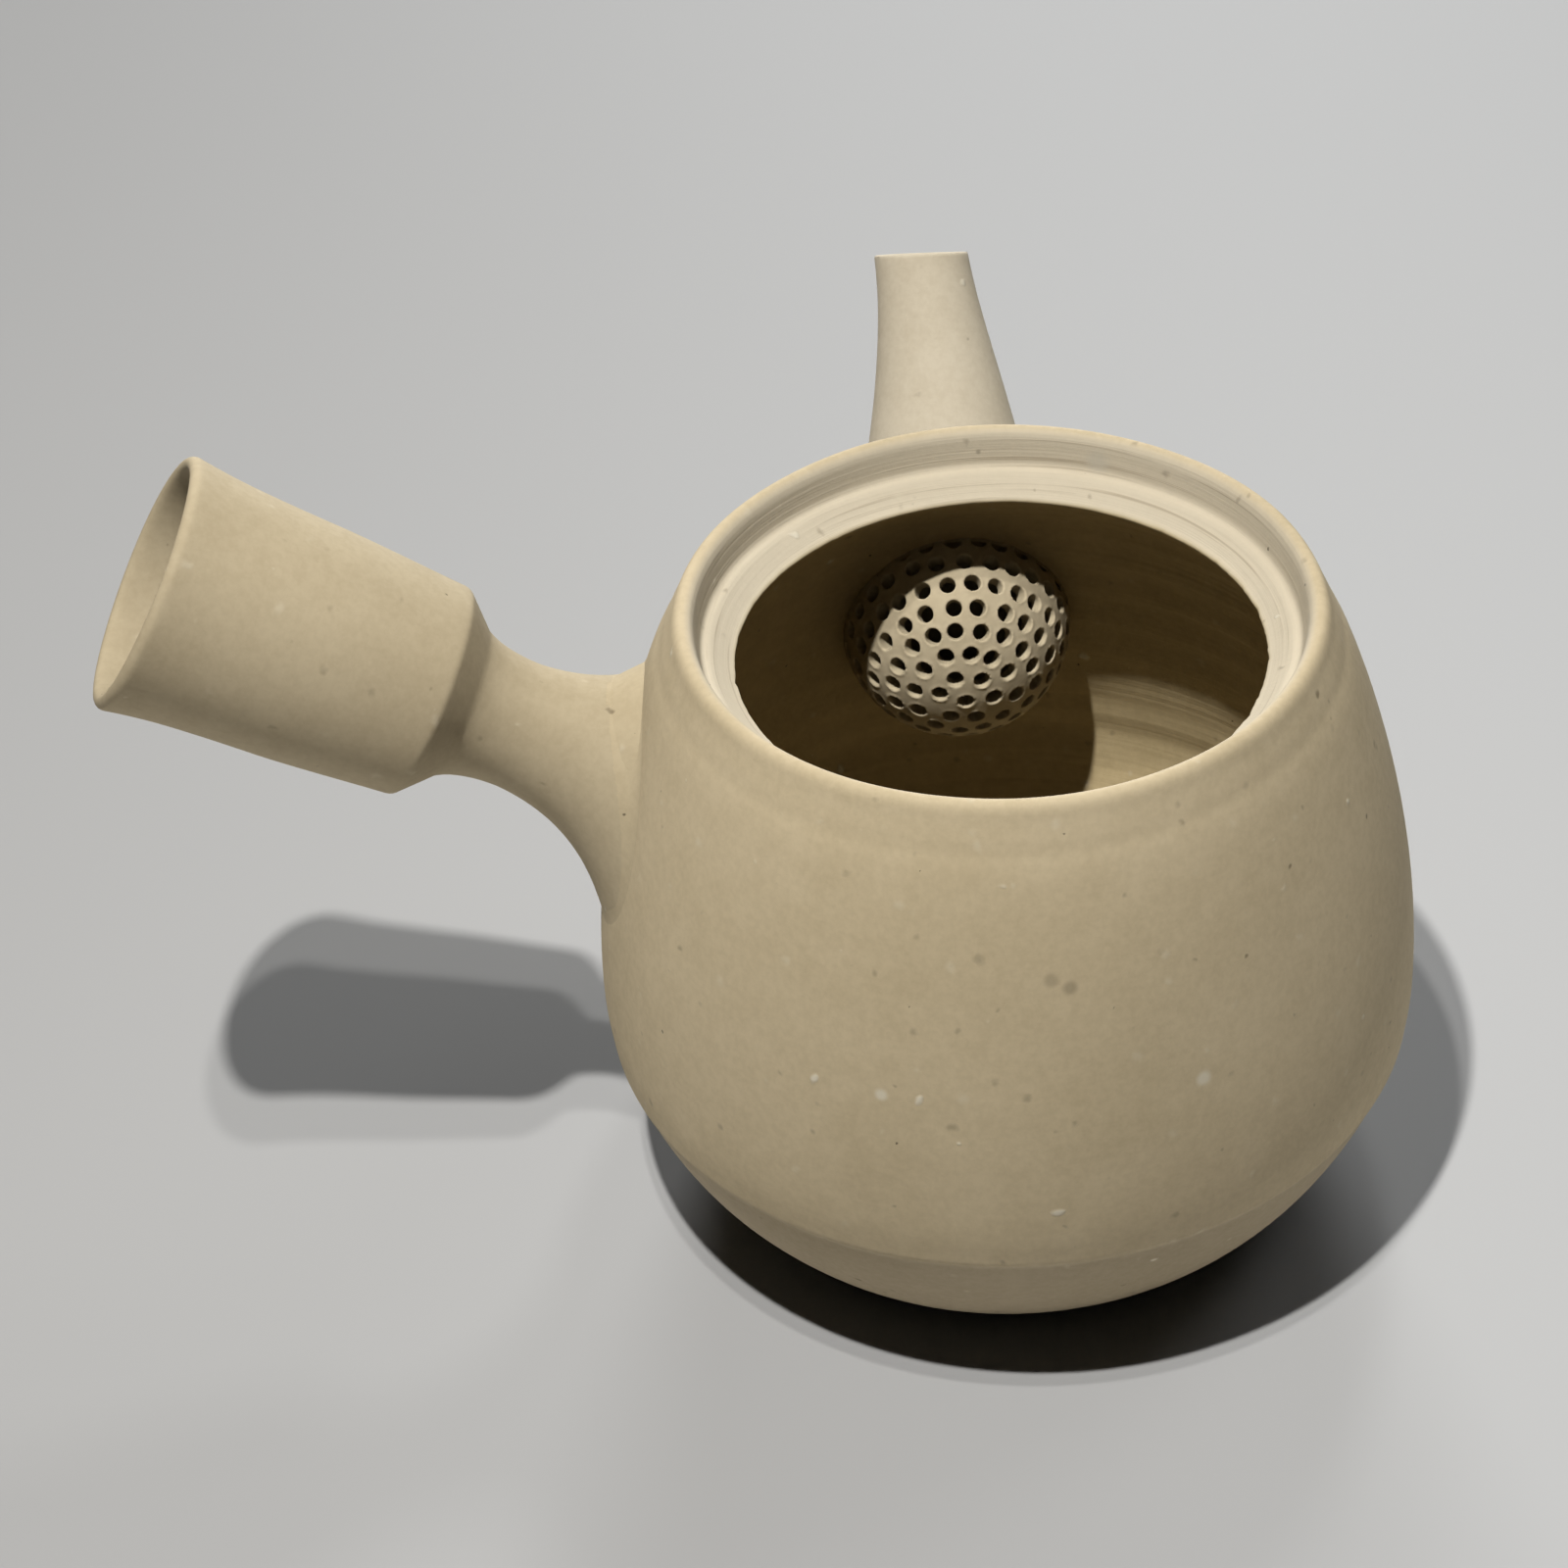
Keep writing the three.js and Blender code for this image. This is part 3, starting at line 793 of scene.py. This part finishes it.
def new_group(
    name: str, inputs: dict[str, tuple[str, object]], outputs: dict[str, str]
) -> tuple[bpy.types.NodeTree, NodeSheet, bpy.types.Node, bpy.types.Node]:
    """Makes an empty shader node group.

    Args:
        name: The group's name.
        inputs: The kind and default of each input, by name.
        outputs: The kind of each output, by name.

    Returns:
        The tree, its sheet, and its input and output nodes.
    """
    tree = bpy.data.node_groups.new(name, "ShaderNodeTree")
    for label, (kind, default) in inputs.items():
        socket = tree.interface.new_socket(label, in_out="INPUT", socket_type="NodeSocket" + kind)
        if default is not None:
            socket.default_value = default
    for label, kind in outputs.items():
        tree.interface.new_socket(label, in_out="OUTPUT", socket_type="NodeSocket" + kind)
    start = tree.nodes.new("NodeGroupInput")
    end = tree.nodes.new("NodeGroupOutput")
    return tree, NodeSheet(tree), start, end


def speck_group() -> bpy.types.NodeTree:
    """Builds the effect of grains of grog scattered through the clay, one size of grain."""
    tree, sheet, start, end = new_group(
        "grog_grains",
        {
            "Vector": ("Vector", None),
            "Scale": ("Float", 400.0),
            "Share": ("Float", 0.1),
            "Size": ("Float", 0.3),
            "Core": ("Float", 0.45),
        },
        {"Grains": "Float"},
    )
    inputs = start.outputs
    sizes = {0: inputs["Vector"], "Scale": inputs["Scale"]}
    scaled = sheet.node("VectorMath", sizes, operation="SCALE").outputs[0]
    wobble = sheet.node("TexNoise", {"Vector": scaled, "Scale": WARP_SCALE, "Detail": 2.0}).outputs[1]
    wobble = sheet.stretched(wobble, (WARP_REACH, WARP_REACH, WARP_REACH))
    warped = sheet.node("VectorMath", {0: scaled, 1: wobble}, operation="ADD").outputs[0]
    cells = sheet.node("TexVoronoi", {"Vector": warped, "Scale": 1.0, "Randomness": 1.0})
    chance = sheet.node("SeparateColor", {0: cells.outputs["Color"]})
    chosen = sheet.math("LESS_THAN", chance.outputs[0], inputs["Share"])
    spread = sheet.math("MULTIPLY_ADD", chance.outputs[1], 0.7, 0.3)
    reach = sheet.math("MULTIPLY", spread, inputs["Size"])
    core = sheet.math("MULTIPLY", reach, inputs["Core"])
    fade = sheet.ramp(cells.outputs["Distance"], reach, core)
    sheet.feed(end.inputs["Grains"], sheet.math("MULTIPLY", chosen, fade))
    return tree


WARP_SCALE = 2.2
WARP_REACH = 0.36


def zones_group() -> bpy.types.NodeTree:
    """Builds the masks of the pot's inside, foot (where shade is painted) and lid seat, and the seat's
    scratches, by place.
    """
    tree, sheet, start, end = new_group(
        "pot_zones",
        {"Vector": ("Vector", None)},
        {"Inside": "Float", "Seat": "Float", "FootShade": "Float", "Scratches": "Float"},
    )
    vector = start.outputs["Vector"]
    x, y, z = sheet.node("SeparateXYZ", {0: vector}).outputs
    radius = sheet.math("SQRT", sheet.math("MULTIPLY_ADD", x, x, sheet.math("MULTIPLY", y, y)))
    above = sheet.math("SUBTRACT", z, WALL_BELLY)
    wall = sheet.math("MULTIPLY_ADD", sheet.math("MULTIPLY", above, above), WALL_BEND, WALL_RADIUS)
    wall = sheet.math("MINIMUM", wall, sheet.math("MULTIPLY_ADD", z, FLOOR_SLOPE, FLOOR_RADIUS))
    inside = sheet.ramp(sheet.math("SUBTRACT", wall, radius), -WALL_BLUR, WALL_BLUR)
    inside = sheet.math("MULTIPLY", inside, sheet.ramp(z, *MOUTH_EDGE))
    inside = sheet.math("MULTIPLY", inside, sheet.ramp(z, *FLOOR_EDGE))
    seat = sheet.math("MULTIPLY", sheet.ramp(radius, *SEAT_EDGE), sheet.ramp(z, *SEAT_FOOT))
    marks = sheet.noise(sheet.stretched(vector, SCRATCH_STRETCH), 1.0, 4, 0.65)
    marks = sheet.math("MULTIPLY", sheet.math("SUBTRACT", marks, 0.5), seat)
    # The foot's mask: where shade is painted onto the trimmed, down-facing bevel
    foot = sheet.math("MULTIPLY", sheet.ramp(z, *TRIM_EDGE), sheet.math("SUBTRACT", 1.0, inside))
    sheet.feed(end.inputs["FootShade"], foot)
    sheet.feed(end.inputs["Inside"], inside)
    sheet.feed(end.inputs["Seat"], seat)
    sheet.feed(end.inputs["Scratches"], marks)
    return tree


# The pot's zones in metres: the middle of its wall as a curve over the height, then the edges
WALL_BELLY = 0.027
WALL_BEND = -4.76
WALL_RADIUS = 0.0441
WALL_BLUR = 0.0003
FLOOR_SLOPE = 0.9
FLOOR_RADIUS = 0.0274
MOUTH_EDGE = (0.0692, 0.0684)
FLOOR_EDGE = (0.002, 0.003)
SEAT_EDGE = (0.034, 0.0328)
SEAT_FOOT = (0.0682, 0.069)
TRIM_EDGE = (0.0219, 0.0203)
SCRATCH_STRETCH = (22, 22, 2600)


def lines_group() -> bpy.types.NodeTree:
    """Builds the effect of fine lines that run round a thrown piece's Z axis."""
    tree, sheet, start, end = new_group(
        "throwing_lines",
        {"Vector": ("Vector", None)},
        {"Fine": "Float", "Broad": "Float"},
    )
    vector = start.outputs["Vector"]
    fine = sheet.noise(sheet.stretched(vector, FINE_STRETCH), 1.0, 3, 0.6)
    broad = sheet.noise(sheet.stretched(vector, BROAD_STRETCH), 1.0, 2, 0.5)
    sheet.feed(end.inputs["Fine"], fine)
    sheet.feed(end.inputs["Broad"], broad)
    return tree


FINE_STRETCH = (14, 14, 1900)
BROAD_STRETCH = (7, 7, 330)


@dataclass(frozen=True)
class Grog:
    """One kind of grain or stain in the clay."""

    colour: tuple[float, float, float]
    scale: float
    share: float
    size: float
    core: float
    strength: float
    height: float = 0.0

    def mask(self, sheet: NodeSheet, tree: bpy.types.NodeTree, place: Socket) -> Socket:
        """Scatters the grains and gives their mask.

        Args:
            sheet: The material's sheet.
            tree: The shared effect.
            place: The coordinates.
        """
        values = {
            "Vector": place,
            "Scale": self.scale,
            "Share": self.share,
            "Size": self.size,
            "Core": self.core,
        }
        made = sheet.node("Group", node_tree=tree)
        for label, value in values.items():
            sheet.feed(made.inputs[label], value)
        return made.outputs["Grains"]


GROG = (
    Grog((238, 226, 198), 260, 0.6, 0.24, 0.1, 0.4, 0.3),
    Grog((248, 238, 214), 200, 0.24, 0.17, 0.3, 0.85, 1.2),
    Grog((140, 124, 98), 280, 0.55, 0.21, 0.1, 0.4, -0.15),
    Grog((124, 108, 84), 190, 0.16, 0.16, 0.3, 0.65, -0.5),
    Grog((84, 70, 52), 480, 0.03, 0.13, 0.5, 0.75, -0.5),
)


@dataclass(frozen=True)
class Mark:
    """One stain or grain that stands out on the pot, by its place in millimetres."""

    colour: tuple[float, float, float]
    place: tuple[float, float, float]
    radius: float
    strength: float

    def mask(self, sheet: NodeSheet, place: Socket) -> Socket:
        """Gives the mark's soft mask.

        Args:
            sheet: The material's sheet.
            place: The coordinates.
        """
        centre = tuple(Vector(self.place) * MM)
        away = sheet.node("VectorMath", {0: place, 1: centre}, operation="DISTANCE").outputs["Value"]
        return sheet.ramp(away, self.radius * MM, MARK_CORE * self.radius * MM, 0, self.strength)


MARK_CORE = 0.3
MARKS = (
    Mark((226, 216, 194), (15.0, 29.0, 72.5), 1.9, 0.8),
    Mark((92, 76, 56), (1.9, 32.7, 72.8), 0.5, 0.6),
    Mark((118, 102, 80), (-0.5, -41.4, 57.5), 1.1, 0.3),
    Mark((110, 94, 72), (1.4, -41.6, 56.5), 1.1, 0.4),
    Mark((246, 236, 212), (15.3, -41.9, 42.5), 1.2, 0.8),
    Mark((246, 236, 212), (-18.2, -40.5, 43.4), 1.0, 0.8),
)


@dataclass(frozen=True)
class ClayFinish:
    """How one thrown piece of the unglazed clay looks."""

    name: str
    tone: tuple[float, float, float]
    shade: tuple[float, float, float]
    along: tuple[float, float, float] = (0, 0, 1)
    fine_lines: float = 0.03
    broad_lines: float = 0.06
    grog_share: float = 1.0
    zoned: bool = False
    roughness: float = 0.84

    def material(self, groups: dict[str, bpy.types.NodeTree]) -> bpy.types.Material:
        """Builds the clay's material.

        Args:
            groups: The shared effects, by name.
        """
        made = bpy.data.materials.new(self.name)
        made.use_nodes = True
        made.node_tree.nodes.clear()
        sheet = NodeSheet(made.node_tree)
        place = sheet.node("TexCoord").outputs["Object"]
        turn = Vector(self.along).rotation_difference(UP).to_euler()
        axis = sheet.node("Mapping", {"Vector": place, "Rotation": tuple(turn)}).outputs[0]
        lines = sheet.node("Group", node_tree=groups["lines"])
        sheet.feed(lines.inputs["Vector"], axis)
        fine, broad = lines.outputs["Fine"], lines.outputs["Broad"]
        cloud = sheet.noise(place, *CLOUD)
        mottle = sheet.noise(place, *MOTTLE)
        grain = sheet.noise(place, *GRAIN)
        tint = sheet.ramp(cloud, *MIDDLE, *CLOUD_TINT)
        tint = sheet.math("ADD", tint, sheet.ramp(mottle, *MIDDLE, *MOTTLE_TINT))
        tint = sheet.math("ADD", tint, sheet.ramp(grain, *MIDDLE, -GRAIN_TINT, GRAIN_TINT))
        tint = sheet.math("ADD", tint, sheet.ramp(fine, *MIDDLE, -self.fine_lines, self.fine_lines))
        colour = sheet.mix(tint, linear(self.tone), linear(self.shade))
        height = sheet.math("MULTIPLY", fine, self.fine_lines)
        height = sheet.math("MULTIPLY_ADD", broad, self.broad_lines, height)
        height = sheet.math("MULTIPLY_ADD", mottle, MOTTLE_HEIGHT, height)
        height = sheet.math("MULTIPLY_ADD", grain, GRAIN_HEIGHT, height)
        bounce_shade = OUTSIDE_BOUNCE_SHADE
        if self.zoned:
            made_zones = sheet.node("Group", {"Vector": place}, node_tree=groups["zones"])
            zones = {key: made_zones.outputs[key] for key in ("Seat", "Inside", "FootShade", "Scratches")}
            colour = self.zone_colour(sheet, zones, colour)
            height = self.zone_height(sheet, zones, fine, broad, height)
            bounce_shade = sheet.math("MULTIPLY_ADD", zones["Inside"], INSIDE_BOUNCE_SHADE - OUTSIDE_BOUNCE_SHADE, OUTSIDE_BOUNCE_SHADE)
            bounce_shade = sheet.math("MULTIPLY_ADD", zones["Seat"], SEAT_BOUNCE_SHADE - OUTSIDE_BOUNCE_SHADE, bounce_shade)
        for grog in GROG:
            mask = grog.mask(sheet, groups["specks"], place)
            share = sheet.math("MULTIPLY", mask, grog.strength * self.grog_share)
            colour = sheet.mix(share, colour, linear(grog.colour))
            height = sheet.math("MULTIPLY_ADD", mask, grog.height * self.grog_share, height)
        for mark in MARKS if self.zoned else ():
            colour = sheet.mix(mark.mask(sheet, place), colour, linear(mark.colour))
        # Painted shade: bounced rays see the clay darkened by the zone's amount, which deepens the shadows
        # under the pot and inside it
        bounced = sheet.node("LightPath").outputs["Is Diffuse Ray"]
        colour = sheet.mix(sheet.math("MULTIPLY", bounced, bounce_shade), colour, (0.0, 0.0, 0.0, 1.0))
        bump = sheet.node("Bump", {"Height": height, "Strength": 0.5, "Distance": BUMP_DEPTH})
        smoothest, roughest = self.roughness - ROUGHNESS_SPREAD, self.roughness + ROUGHNESS_SPREAD
        shader = sheet.node(
            "BsdfPrincipled",
            {
                "Base Color": colour,
                "Roughness": sheet.ramp(grain, 0.2, 0.8, smoothest, roughest),
                "Normal": bump.outputs[0],
                "Specular IOR Level": 0.3,
            },
        )
        sheet.node("OutputMaterial", {"Surface": shader.outputs[0]})
        return made

    @staticmethod
    def zone_colour(
        sheet: NodeSheet, zones: dict[str, Socket], colour: Socket
    ) -> Socket:
        """Makes the lid's seat paler, partly as painted highlight, darkens the trimmed foot as painted shade,
        and tints the inside.

        Args:
            sheet: The material's sheet.
            zones: The masks of the zones, by name.
            colour: The clay's colour so far.
        """
        # The seat's paler tone is partly the trimmed ledge's own colour and partly painted highlight on the
        # up-facing, lit ledge
        colour = sheet.mix(sheet.math("MULTIPLY", zones["Seat"], 0.7), colour, linear(SEAT_TONE_AND_HIGHLIGHT))
        colour = sheet.mix(zones["Inside"], colour, linear(INSIDE_TONE), "MULTIPLY")
        # Painted shade: the trimmed foot is darkened
        colour = sheet.mix(zones["FootShade"], colour, linear(FOOT_SHADE_TONE), "MULTIPLY")
        return sheet.mix(sheet.ramp(zones["Scratches"], 0.06, 0.2, 0, 0.5), colour, linear(PIT_BROWN))

    @staticmethod
    def zone_height(
        sheet: NodeSheet,
        zones: dict[str, Socket],
        fine: Socket,
        broad: Socket,
        height: Socket,
    ) -> Socket:
        """Adds the scratches of the lid's seat and the stronger throwing lines of the inside.

        Args:
            sheet: The material's sheet.
            zones: The masks of the zones, by name.
            fine: The fine throwing lines.
            broad: The broad throwing lines.
            height: The relief so far.
        """
        lines = sheet.math("MULTIPLY_ADD", broad, 4.5, sheet.math("MULTIPLY", fine, 0.8))
        height = sheet.math("MULTIPLY_ADD", lines, zones["Inside"], height)
        return sheet.math("MULTIPLY_ADD", zones["Scratches"], 1.3, height)


def linear(colour: tuple[float, float, float]) -> tuple[float, float, float, float]:
    """Turns a screen colour of 0 to 255 into a linear one with full alpha."""
    parts = [channel / 255 for channel in colour]
    parts = [c / 12.92 if c <= 0.04045 else ((c + 0.055) / 1.055) ** 2.4 for c in parts]
    return (*parts, 1.0)


# Scale, detail and roughness of the clay's patterns, what they do to its tone, and their height
CLOUD = (34, 4, 0.55)
MOTTLE = (300, 3, 0.6)
GRAIN = (1100, 4, 0.65)
MIDDLE = (0.3, 0.7)
CLOUD_TINT = (0, 0.45)
MOTTLE_TINT = (-0.05, 0.17)
GRAIN_TINT = 0.16
MOTTLE_HEIGHT = 0.5
GRAIN_HEIGHT = 0.45
BUMP_DEPTH = 0.00012
ROUGHNESS_SPREAD = 0.07

# Tones of the pot's zones, and the painted shade of bounced light: how far the clay is darkened to bounced
# rays in each zone, which deepens the shadows under and inside the pot
# Partly the ledge's own colour, partly painted highlight
SEAT_TONE_AND_HIGHLIGHT = (238, 227, 204)
INSIDE_TONE = (255, 251, 236)
# Painted shade on the trimmed, down-facing foot
FOOT_SHADE_TONE = (226, 226, 229)
PIT_BROWN = (170, 152, 124)
# Painted shade: how far the clay is darkened to bounced rays outside, inside and on the seat
OUTSIDE_BOUNCE_SHADE = 0.8
INSIDE_BOUNCE_SHADE = 0.66
SEAT_BOUNCE_SHADE = 0.25


@dataclass(frozen=True)
class Lamp:
    """A round studio lamp, by its place in metres."""

    name: str
    place: tuple[float, float, float]
    share: float
    size: float
    tint: tuple[float, float, float] = (1.0, 1.0, 1.0)

    def build(self) -> None:
        """Hangs the lamp and aims it at the pot.

        A share of 1 lights a surface at the pot that faces the lamp so that its colour shows as written.
        """
        data = bpy.data.lights.new(self.name, "AREA")
        data.shape = "DISK"
        data.size = self.size
        towards = Vector(self.place) - AIM
        data.energy = self.share * math.pi**2 * towards.length_squared
        data.color = self.tint
        lamp = bpy.data.objects.new(self.name, data)
        lamp.matrix_world = Matrix.Translation(self.place) @ (
            towards.normalized().to_track_quat("Z", "Y").to_matrix().to_4x4()
        )
        bpy.context.scene.collection.objects.link(lamp)


AIM = Vector((0, 0, 0.035))


@dataclass
class Studio:
    """The pale floor, the lamps and the camera."""

    floor_size: float = 6.0
    # The floor's two sides: the brighter right is painted light
    floor_left: tuple[float, float, float] = (192, 191, 189)
    floor_right: tuple[float, float, float] = (217, 217, 216)
    floor_blend: float = 0.16
    room_tone: tuple[float, float, float] = (200, 200, 200)
    room_light: float = 0.004
    lamps: tuple[Lamp, ...] = (
        Lamp("key_lamp", (-0.138, -0.174, 0.700), 0.62, 0.021, (1.0, 0.99, 0.975)),
        Lamp("second_lamp", (-0.123, -0.124, 0.780), 0.178, 0.021, (1.0, 0.99, 0.975)),
        Lamp("back_lamp", (0.298, 0.917, 1.184), 0.09, 0.21, (0.98, 1.0, 1.01)),
        Lamp("low_back_lamp", (0.153, 1.459, 0.347), 0.5, 0.5, (0.98, 1.0, 1.02)),
        Lamp("right_back_lamp", (0.995, 0.575, 0.999), 0.065, 0.6, (0.98, 1.0, 1.02)),
    )
    lens: float = 94.5
    sensor: float = 36
    camera_place: tuple[float, float, float] = (-0.0435, -0.35427, 0.3331)
    camera_right: tuple[float, float, float] = (0.99467, -0.0915, -0.0471)
    camera_up: tuple[float, float, float] = (0.09361, 0.61387, 0.7839)

    def build(self) -> None:
        """Sets the whole studio up."""
        self.lay_floor()
        for lamp in self.lamps:
            lamp.build()
        self.light_room()
        self.set_camera()
        bpy.context.scene.view_settings.view_transform = "Standard"

    def lay_floor(self) -> None:
        """Lays the floor, a touch brighter to the right as in the photograph."""
        bm = bmesh.new()
        bmesh.ops.create_grid(bm, x_segments=2, y_segments=2, size=self.floor_size / 2)
        mesh = bpy.data.meshes.new("floor")
        bm.to_mesh(mesh)
        bm.free()
        floor = bpy.data.objects.new("floor", mesh)
        bpy.context.scene.collection.objects.link(floor)
        made = bpy.data.materials.new("floor_paint")
        made.use_nodes = True
        made.node_tree.nodes.clear()
        sheet = NodeSheet(made.node_tree)
        place = sheet.node("TexCoord").outputs["Object"]
        across = sheet.node("SeparateXYZ", {0: place}).outputs[0]
        # Painted light: the floor's colour brightens towards the right, standing in for more lamp light there
        side = sheet.ramp(across, -self.floor_blend, self.floor_blend)
        colour = sheet.mix(side, linear(self.floor_left), linear(self.floor_right))
        shader = sheet.node("BsdfPrincipled", {"Base Color": colour, "Roughness": 0.75})
        sheet.node("OutputMaterial", {"Surface": shader.outputs[0]})
        mesh.materials.append(made)

    def light_room(self) -> None:
        """Fills the room with a little light, and shows the camera a pale grey beyond the floor."""
        world = bpy.data.worlds.new("room")
        bpy.context.scene.world = world
        world.use_nodes = True
        world.node_tree.nodes.clear()
        sheet = NodeSheet(world.node_tree)
        seen = sheet.node("LightPath").outputs["Is Camera Ray"]
        dim = (self.room_light, self.room_light, self.room_light, 1)
        colour = sheet.mix(seen, dim, linear(self.room_tone))
        back = sheet.node("Background", {"Color": colour, "Strength": 1.0})
        sheet.node("OutputWorld", {"Surface": back.outputs[0]})

    def set_camera(self) -> None:
        """Stands the camera where the photograph was taken from."""
        data = bpy.data.cameras.new("camera")
        data.lens = self.lens
        data.sensor_width = self.sensor
        right, up = Vector(self.camera_right), Vector(self.camera_up)
        back = right.cross(up)
        rotation = Matrix((right, up, back)).transposed().to_4x4()
        camera = bpy.data.objects.new("camera", data)
        camera.matrix_world = Matrix.Translation(self.camera_place) @ rotation
        bpy.context.scene.collection.objects.link(camera)
        bpy.context.scene.camera = camera


@dataclass
class Teapot:
    """The whole teapot: its four thrown pieces and the clay that joins them."""

    pot: Pot = field(default_factory=Pot)
    handle: Handle = field(default_factory=Handle)
    spout: Spout = field(default_factory=Spout)
    strainer: Strainer = field(default_factory=Strainer)

    def outlet(self) -> bmesh.types.BMesh:
        """The solid that cuts the outlet through the wall behind the strainer."""
        bm = bmesh.new()
        bmesh.ops.create_cone(
            bm,
            cap_ends=True,
            segments=64,
            radius1=self.pot.outlet_radius,
            radius2=self.pot.outlet_radius,
            depth=4 * self.pot.wall,
            matrix=turning_frame(Vector(self.strainer.centre), Vector((0, 1, 0))),
        )
        return bm

    def finishes(self) -> dict[Clay, bpy.types.Material]:
        """Builds the clay of each slot."""
        groups = {"specks": speck_group(), "lines": lines_group(), "zones": zones_group()}
        grip, tube = tuple(self.handle.along), tuple(self.spout.along)
        front = (0, -1, 0)
        made = {
            Clay.BODY: ClayFinish("body_clay", (228, 209, 172), (206, 187, 149), zoned=True),
            Clay.HANDLE: ClayFinish("handle_clay", (212, 195, 161), (192, 174, 140), grip),
            # The spout's tone, paler than the body's, is partly painted highlight standing in for the lit look
            # of its up-facing surfaces
            Clay.SPOUT: ClayFinish("spout_clay", (233, 220, 194), (213, 198, 170), tube),
            Clay.STRAINER: ClayFinish(
                "strainer_clay", (232, 215, 180), (208, 190, 155), front, grog_share=0.35
            ),
            Clay.LUTING: ClayFinish("luting_clay", (218, 200, 164), (199, 180, 144), broad_lines=0.05),
        }
        return {slot: finish.material(groups) for slot, finish in made.items()}

    def build(self) -> None:
        """Builds, dresses and declares every piece."""
        handle_clay = RootClay("handle_luting", self.handle, spread_top=4.5, spread_under=1.6)
        spout_clay = RootClay("spout_luting", self.spout, spread_top=3.0, spread_under=3.0)
        finishes = self.finishes()
        pieces = (
            (self.pot.build(self.outlet()), "pot_body", Clay.BODY),
            (self.handle.build(self.pot), "handle", Clay.HANDLE),
            (self.spout.build(self.pot), "spout", Clay.SPOUT),
            (self.strainer.build(self.pot), "ball_strainer", Clay.STRAINER),
            (handle_clay.build(self.pot), "handle_joint_clay", Clay.LUTING),
            (spout_clay.build(self.pot), "spout_joint_clay", Clay.LUTING),
            (StrainerClay(self.strainer).build(self.pot), "strainer_joint_clay", Clay.LUTING),
        )
        for piece, node, clay in pieces:
            piece.data.materials.clear()
            piece.data.materials.append(finishes[clay])
            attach(piece, "root")
            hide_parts(node)
            log.info("%s: %d faces", piece.name, len(piece.data.polygons))


def main() -> None:
    logging.basicConfig(level=logging.INFO, format="%(name)s %(message)s")
    Teapot().build()
    Studio().build()


if __name__ == "__main__":
    main()
